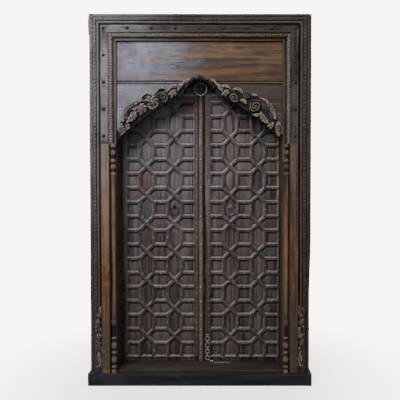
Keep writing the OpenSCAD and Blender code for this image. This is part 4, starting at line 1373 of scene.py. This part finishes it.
def top_moulding(side, body):
    """The level moulding over one lattice, with its beads."""
    node = side + "_top_moulding"
    low, high = box_mm(node)
    tall = high[2] - low[2]
    rings = []
    for k, x in enumerate(spread(low[0], high[0], 24)):
        rings.append([(x, high[1] - 0.05 - (high[1] - low[1] - 0.4) * v
                       - (0.25 * math.sin(k * 1.3) if v > 0.3 else 0), low[2] + tall * u)
                      for u, v in TOP_PROFILE])
    shape = Shape()
    # crests rubbed, low parts given painted shade
    shape.skin(rings, [max(-1, min(1, (v - 0.66) * 3)) if v else 0 for _, v in TOP_PROFILE])
    finish_piece(shape, node + "_moulded", body, "dark_teak", "leaf_level", (node,), 30)
    z = low[2] + tall * 0.43
    bead_row(side + "_top_beads", [[(low[0] + 8, z), (high[0] - 8, z)]], low[1] + 5.2, body,
             "dark_teak", "leaf_level", (6.8, 7.4, 3.6), 17.5, 0.0, 0.2, 8)


class DOOR_OT_ribs(bpy.types.Operator):
    """Beaded ribs beside each lattice, and the mouldings above them"""
    bl_idname = "door.ribs"
    bl_label = "Ribs and top mouldings"

    def execute(self, context):
        for side, _ in SIDES:
            node, body = side + "_stud_strips", side + "_leaf"
            low, high = box_mm(node)
            field_low, field_high = box_mm(side + "_lattice")
            spans = [(low[0], field_low[0])]
            if side == "left":
                spans.append((field_high[0], high[0]))
            shape = Shape()
            for k, (x0, x1) in enumerate(spans):
                rib(shape, x0 + 0.1, x1 - 0.1, high[1] - 0.05, high[1] - low[1], low[2], high[2],
                    k + 3)
            finish_piece(shape, node + "_moulded", body, "dark_teak", "leaf", (node,), 30)
            inner = sum(spans[-1]) / 2
            bead_row(side + "_rib_beads", [[(inner, low[2] + 8), (inner, high[2] - 8)]],
                     low[1] + 3.4, body, "dark_teak", "leaf", (6.6, 4.2, 3.4),
                     sizes().rib_pitch, 0.0, 0.2, 4)
            pitch = opening_size(field_low, field_high)[1] / 2
            outer = sum(spans[0]) / 2 if side == "left" else field_high[0] - 6
            studs = [(x, field_low[2] + pitch * i) for x, step in ((inner, 1), (outer, 2))
                     for i in range(1, 2 * ROWS, step)]
            nail_row(side + "_rib_nails", studs, low[1] + 2.6, body, "nail_iron",
                     (5.0, 4.8, 3.4), 0.15, 6)
            top_moulding(side, body)
        return {"FINISHED"}


class DOOR_OT_meeting_bead(bpy.types.Operator):
    """Draught bead on the right leaf's edge that closes most of the gap between the leaves"""
    bl_idname = "door.meeting_bead"
    bl_label = "Meeting bead"

    def execute(self, context):
        low, high = box_mm("right_boards")
        back = box_mm("right_ledges")[1][1] - 2
        wide, soft = 4.6, 0.9
        root, front = low[0] + 0.05, low[1] + 3
        rings = []
        for z in spread(low[2], high[2], 60):
            out = low[0] - wide + wobble(z, 0.15, 3, 80)
            rings.append([(root, front, z), (out + soft, front, z), (out, front + 1.2, z),
                          (out, back - 1.2, z), (out + soft, back, z), (root, back, z)])
        shape = Shape()
        shape.skin(rings)
        finish_piece(shape, "meeting_draught_bead", "right_leaf", "dark_teak", "plain", (), 30)
        return {"FINISHED"}


class DOOR_OT_astragal(bpy.types.Operator):
    """Half-round strip over the meeting edge, with its collars and bosses"""
    bl_idname = "door.astragal"
    bl_label = "Half-round strip"

    def execute(self, context):
        low, high = box_mm("astragal")
        cx, half, deep = (low[0] + high[0]) / 2, (high[0] - low[0]) / 2, high[1] - low[1]
        back, foot = high[1] - 0.1, 8  # the strip's straight sides rise 8 mm before it rounds
        rings = []
        for z in spread(low[2], high[2], round((high[2] - low[2]) / 14)):
            ring = [(cx - half, back, z)]
            for i in range(21):
                a = math.pi * i / 20
                groove = 1.0 - (0.07 if i in (5, 15) else 0.0)
                flat = min(deep, (foot + (deep - foot) * math.sin(a) * 1.06))
                push = flat * groove + wobble(z, 0.4, i * 0.2, 70)
                ring.append((cx - half * math.cos(a) * (1 - 0.012 * math.sin(z * 0.03)),
                             back - min(deep - 0.1, push if 0 < i < 20 else foot), z))
            rings.append(ring + [(cx + half, back, z)])
        # crown of the strip rubbed; grooves and feet given painted shade
        wear = {i: 0.45 for i in range(8, 15)} | {6: -0.8, 16: -0.8, 1: -0.6, 21: -0.6}
        shape = Shape()
        shape.skin(rings, [wear.get(i, 0.0) for i in range(23)])
        finish_piece(shape, "astragal_half_round", "left_leaf", "dark_teak", "strip",
                     ("astragal",), 50)
        boss_low, boss_high = box_mm("astragal_bosses")
        r = (boss_high[0] - boss_low[0]) / 2
        bosses = [(cx, z) for z in spread(boss_low[2] + r, boss_high[2] - r, 18)]
        nail_row("astragal_boss_heads", bosses, low[1] + 0.2, "left_leaf", "nail_iron",
                 (9.6, 9.2, 7.4), 0.08, 2, ("astragal_bosses",))
        return {"FINISHED"}


# ---------------------------------------------------------------- rings and chain

def forged_ring(shape, centre, r, wire, upright, seed, twist, sides, steps):
    """A ring of hand-forged wire, a little out of round and uneven in thickness.
    upright is 'XZ' for a ring seen full face from the front and 'YZ' for one seen edge on."""
    cx, cy, cz = centre
    rings = []
    for k in range(steps):
        a = 2 * math.pi * k / steps
        radius = r + 0.012 * r * math.sin(2 * a + seed) * math.sin(a)
        w = wire * (0.97 + 0.03 * math.sin(5 * a + seed))
        ring = []
        for i in range(sides):
            b = 2 * math.pi * i / sides + twist * a
            flat = 1 - 0.10 * (i % 2) * (twist > 0)
            reach = radius + w * flat * math.cos(b)
            across = w * flat * math.sin(b)
            p, q = reach * math.cos(a), reach * math.sin(a)
            ring.append((cx + p, cy + across, cz + q) if upright == "XZ"
                        else (cx + across, cy + p, cz + q))
        rings.append(ring)
    shape.skin(rings, loop=True)


def rod(shape, start, end, r0, r1, sides=10):
    """A short forged pin or neck between two points."""
    s, e = Vector(start), Vector(end)
    axis = (e - s).normalized()
    other = axis.orthogonal().normalized()
    third = axis.cross(other)
    turns = [2 * math.pi * i / sides for i in range(sides)]
    shape.skin([[tuple(s.lerp(e, t) + r * (math.cos(a) * other + math.sin(a) * third))
                 for a in turns]
                for t, r in ((0, r0 * 0.8), (0.08, r0), (0.92, r1), (1, r1 * 0.8))])


def rose_plate(shape, centre, r, thick, under):
    """A scalloped back plate, facing the front or, under the lintel, facing down."""
    cx, cy, cz = centre
    rings = []
    for scale, t in ((1.0, 0.0), (1.0, 0.55), (0.86, 1.0), (0.3, 1.0)):
        ring = []
        for i in range(32):
            a = 2 * math.pi * i / 32
            reach = r * scale * (0.93 + 0.07 * math.cos(8 * a))
            p, q = reach * math.cos(a), reach * math.sin(a)
            ring.append((cx + p, cy + q, cz - thick * t) if under
                        else (cx + p, cy - thick * t, cz + q))
        rings.append(ring)
    shape.skin(rings)


def hanging_ring(node, body, material, seed, twist, steps, cx, cy=None):
    """A twisted ring as large as its CAD node, in line with its eye in X and, if given, in Y."""
    low, high = box_mm(node)
    wire = (high[1] - low[1]) / 2
    if cy is None:
        cy = (low[1] + high[1]) / 2
    shape = Shape()
    forged_ring(shape, (cx, cy, (low[2] + high[2]) / 2), (high[0] - low[0]) / 2 - wire, wire,
                "XZ", seed, twist, 8, steps)
    iron_piece(shape, node, body, material)


class DOOR_OT_ring_pulls(bpy.types.Operator):
    """Ring pulls on both leaves, and the ring under the lintel"""
    bl_idname = "door.ring_pulls"
    bl_label = "Ring pulls"

    def execute(self, context):
        for side, iron in (("left", "iron"), ("right", "nail_iron")):
            low, high = box_mm(side + "_ring_eye")
            cx, _, cz = middle(low, high)
            eye_r, wire = 7.0, 2.3
            cy = low[1] + eye_r + wire
            shape = Shape()
            forged_ring(shape, (cx, cy, cz), eye_r, wire, "YZ", 1.0, 0, 10, 32)
            rod(shape, (cx, cy + eye_r, cz), (cx, PLANK - 0.1, cz), 2.6, 2.2)
            rose_plate(shape, (cx, PLANK - 0.1, cz), 15, 9.5, False)
            iron_piece(shape, side + "_ring_eye", side + "_leaf", iron)
            hanging_ring(side + "_ring", side + "_pull", iron, 0.4, 6, 72, cx)
        low, high = box_mm("lintel_ring_eye")
        cy, eye_r, wire = (low[1] + high[1]) / 2, 7, 2.6
        eye_z, plate_z = low[2] + eye_r + wire, high[2] - 0.1
        shape = Shape()
        forged_ring(shape, (0, cy, eye_z), eye_r, wire, "YZ", 0.3, 0, 10, 32)
        rod(shape, (0, cy, eye_z + eye_r), (0, cy, plate_z), 2.4, 2.4)
        rose_plate(shape, (0, cy, plate_z), 9, 2.0, True)
        # painted light: the brightest iron for the eye and ring under the lintel, which hang in the
        # arch's shade
        iron_piece(shape, "lintel_ring_eye", "frame", "bright_iron")
        hanging_ring("lintel_ring", "head_ring", "bright_iron", 0.9, 8, 84, 0, cy)
        return {"FINISHED"}


def threshold_iron():
    """The staple that takes the chain, and the worn strap on the threshold."""
    low, high = box_mm("threshold_staple")
    cx, cy, _ = middle(low, high)
    wire = 2.8
    bar_z = high[2] - wire
    shape = Shape()
    rod(shape, (cx - 11, cy, bar_z), (cx + 11, cy, bar_z), wire, wire)
    for dx in (-9, 9):
        rod(shape, (cx + dx, cy, low[2] + 0.1), (cx + dx, cy, bar_z), 2.4, 2.4)
    iron_piece(shape, "threshold_staple", "frame", "bright_iron")
    low, high = box_mm("threshold_strap")
    mid, foot = (low[1] + high[1]) / 2, low[2] + 0.05
    rings = []
    for k, x in enumerate(spread(low[0], high[0], 14)):
        swell = math.sin(math.pi * min(1, k / 14 * 1.15)) ** 0.5
        half = (high[1] - low[1]) / 2 * (0.62 + 0.38 * swell)
        lift = high[2] - 0.5 * (1 + math.sin(k * 1.7)) * 0.5
        rings.append([(x, mid - half, foot), (x, mid - half, lift - 1),
                      (x, mid - half + 1, lift), (x, mid + half - 1, lift),
                      (x, mid + half, lift - 1), (x, mid + half, foot)])
    shape = Shape()
    shape.skin(rings)
    iron_piece(shape, "threshold_strap", "frame", "nail_iron")


class DOOR_OT_chain(bpy.types.Operator):
    """Forged chain on the right leaf, its staple, and the hasp on the threshold"""
    bl_idname = "door.chain"
    bl_label = "Chain and hasp"

    def execute(self, context):
        low, high = box_mm("chain_staple")
        cx, wire = (low[0] + high[0]) / 2, 2.4
        cy, cz = low[1] + wire, high[2] - wire
        shape = Shape()
        rod(shape, (cx - 12, cy, cz), (cx + 12, cy, cz), wire, wire)
        for dx, end in ((-9, high[1]), (9, high[1] - 11)):
            rod(shape, (cx + dx, cy, cz), (cx + dx, end - 0.1, cz), 2.0, 2.0)
        iron_piece(shape, "chain_staple", "right_leaf", "bright_iron")
        eye_r, loop_r, pitch, hang = 6.6, 15.0, 44.0, 0.3
        eye_drop = eye_r - 2 * wire - hang
        for i in range(1, 5):
            top = cz - (i - 1) * pitch
            eye_z, loop_z = top - eye_drop, top + loop_r - pitch
            shape = Shape()
            forged_ring(shape, (cx, cy, eye_z), eye_r, wire, "YZ", i, 0, 10, 30)
            forged_ring(shape, (cx, cy, loop_z), loop_r, wire, "XZ", i + 2.0, 5, 8, 44)
            rod(shape, (cx, cy, loop_z + loop_r), (cx, cy, eye_z - eye_r), wire - 0.1, wire - 0.3)
            for dx in (-1, 1):
                rod(shape, (cx + dx * 3.2, cy, loop_z + loop_r - 0.6),
                    (cx, cy, eye_z - eye_r + 0.4), 1.1, 1.0, 8)
            iron_piece(shape, f"chain_link_{i}", f"link_{i}", "bright_iron")
        threshold_iron()
        bolt = bpy.data.objects["sill_bolt"].data.materials
        bolt.clear()
        bolt.append(MATERIALS["iron"])
        return {"FINISHED"}


# ---------------------------------------------------------------- stage

def soft_light(name, location, target, width, height, power, hex_text, shines=True):
    """A soft box that faces its target; one that doesn't shine leaves no glint."""
    data = bpy.data.lights.new(name, "AREA")
    data.shape = "RECTANGLE"
    data.size, data.size_y, data.energy = width, height, power
    data.color = colour(hex_text)
    lamp = bpy.data.objects.new(name, data)
    lamp.location = location
    lamp.rotation_euler = (Vector(target) - Vector(location)).to_track_quat("-Z", "Y").to_euler()
    lamp.visible_glossy = shines
    bpy.context.scene.collection.objects.link(lamp)


def white_room():
    """Surroundings that look white and light the door more from above than from below."""
    world = bpy.data.worlds.new("white_room")
    world.use_nodes = True
    nodes = Nodes(world.node_tree)
    nodes.tree.nodes.clear()
    seen = nodes.add("ShaderNodeBackground", {"Color": (1, 1, 1, 1), "Strength": 8.0})
    way = nodes.add("ShaderNodeTexCoord", output="Generated")
    up = nodes.add("ShaderNodeSeparateXYZ", {0: way}, 2)
    felt = nodes.add("ShaderNodeBackground", {"Color": tint("#f2f5ff"),
                                              "Strength": nodes.span(up, -0.15, 0.75, 0.06, 1.35)})
    by_camera = nodes.add("ShaderNodeLightPath", output="Is Camera Ray")
    nodes.add("ShaderNodeOutputWorld",
              {0: nodes.add("ShaderNodeMixShader", {0: by_camera, 1: felt, 2: seen})})
    return world


def pale_floor():
    """A round pale floor that fades out towards its edge."""
    mesh = bpy.data.meshes.new("floor")
    bm = bmesh.new()
    bmesh.ops.create_circle(bm, cap_ends=True, radius=3.4, segments=96)
    bm.to_mesh(mesh)
    bm.free()
    material, nodes, shader = new_material("pale_floor")
    out = shader.outputs[0].links[0].to_node
    by_camera = nodes.add("ShaderNodeLightPath", output="Is Camera Ray")
    nodes.fill(shader, {"Base Color": nodes.mix(by_camera, "#8a8886", "#f6f5f4"),
                        "Roughness": 0.8, "Emission Color": (1, 1, 1, 1),
                        "Emission Strength": nodes.calc("MULTIPLY", by_camera, 1.5)})
    place = nodes.add("ShaderNodeTexCoord", output="Object")
    far = nodes.add("ShaderNodeVectorMath", {0: place}, 1, operation="LENGTH")
    fade = nodes.span(far, 0.55, 2.0)
    clear = nodes.add("ShaderNodeBsdfTransparent")
    nodes.fill(out, {0: nodes.add("ShaderNodeMixShader",
                                  {0: fade, 1: shader.outputs[0], 2: clear})})
    mesh.materials.append(material)
    ground = bpy.data.objects.new("floor", mesh)
    ground.location.z = -0.0005
    bpy.context.scene.collection.objects.link(ground)
    return ground


class DOOR_OT_stage(bpy.types.Operator):
    """Pale floor, white surroundings, soft lights and the camera"""
    bl_idname = "door.stage"
    bl_label = "Stage"

    def execute(self, context):
        scene = context.scene
        scene.world = white_room()
        pale_floor()
        for light in (
            ("key_softbox", (-1.1, -3.3, 3.0), (0, 0.1, 1.25), 1.3, 1.0, 150, "#fbfaff", False),
            ("front_fill", (0.2, -4.6, 1.7), (0, 0.1, 1.5), 2.0, 1.2, 46, "#f6f6ff", False),
            ("high_softbox", (-1.5, -2.7, 4.1), (0, 0, 1.25), 1.2, 0.9, 70, "#fbfaff"),
            ("sheen_softbox", (-1.0, -3.5, 3.15), (-0.35, 0, 2.1), 0.9, 0.8, 11, "#d9e4ff"),
            ("right_fill", (2.6, -3.4, 1.8), (0, -0.1, 1.25), 1.8, 2.4, 12, "#ffeedd"),
            ("rear_bank", (1.4, 3.6, 3.4), (0, 0.1, 1.2), 2.8, 2.0, 130, "#ffffff"),
            ("rear_fill", (-2.4, 3.0, 1.4), (0, 0.1, 1.1), 1.8, 2.2, 30, "#ffffff"),
        ):
            soft_light(*light)
        data = bpy.data.cameras.new("camera")
        data.lens, data.sensor_width = 46.66, 36.0
        data.shift_x, data.shift_y = -0.060, 0.0018
        data.clip_end = 60
        camera = bpy.data.objects.new("camera", data)
        camera.location = (0.158, -3.5095, 1.288)
        camera.rotation_euler = (math.radians(90 - 1.33), 0, 0)
        scene.collection.objects.link(camera)
        scene.camera = camera
        return {"FINISHED"}


class DOOR_PT_panel(bpy.types.Panel):
    bl_idname = "DOOR_PT_panel"
    bl_label = "Carved Door"
    bl_space_type = "VIEW_3D"
    bl_region_type = "UI"
    bl_category = "Carved Door"

    def draw(self, context):
        column = self.layout.column()
        for name in STEPS:
            column.operator(name)
        for group in (context.scene.door_sizes, context.scene.door_colours):
            for key in group.bl_rna.properties.keys():
                if key not in ("rna_type", "name"):
                    column.prop(group, key)


OPERATORS = [DOOR_OT_frame_timbers, DOOR_OT_leaf_timbers, DOOR_OT_batten, DOOR_OT_mouldings,
             DOOR_OT_frame_nails, DOOR_OT_arch_carvings, DOOR_OT_columns, DOOR_OT_pilasters,
             DOOR_OT_corner_carving, DOOR_OT_lattices, DOOR_OT_ribs, DOOR_OT_meeting_bead,
             DOOR_OT_astragal, DOOR_OT_ring_pulls, DOOR_OT_chain, DOOR_OT_stage]
STEPS = [operator.bl_idname for operator in OPERATORS]
CLASSES = [DoorSizes, DoorColours, *OPERATORS, DOOR_PT_panel]


def register():
    for cls in CLASSES:
        bpy.utils.register_class(cls)
    bpy.types.Scene.door_sizes = bpy.props.PointerProperty(type=DoorSizes)
    bpy.types.Scene.door_colours = bpy.props.PointerProperty(type=DoorColours)


def unregister():
    del bpy.types.Scene.door_sizes
    del bpy.types.Scene.door_colours
    for cls in reversed(CLASSES):
        bpy.utils.unregister_class(cls)


def main():
    register()
    make_materials()
    for name in STEPS:
        group, step = name.split(".")
        getattr(getattr(bpy.ops, group), step)()


if __name__ == "__main__":
    main()
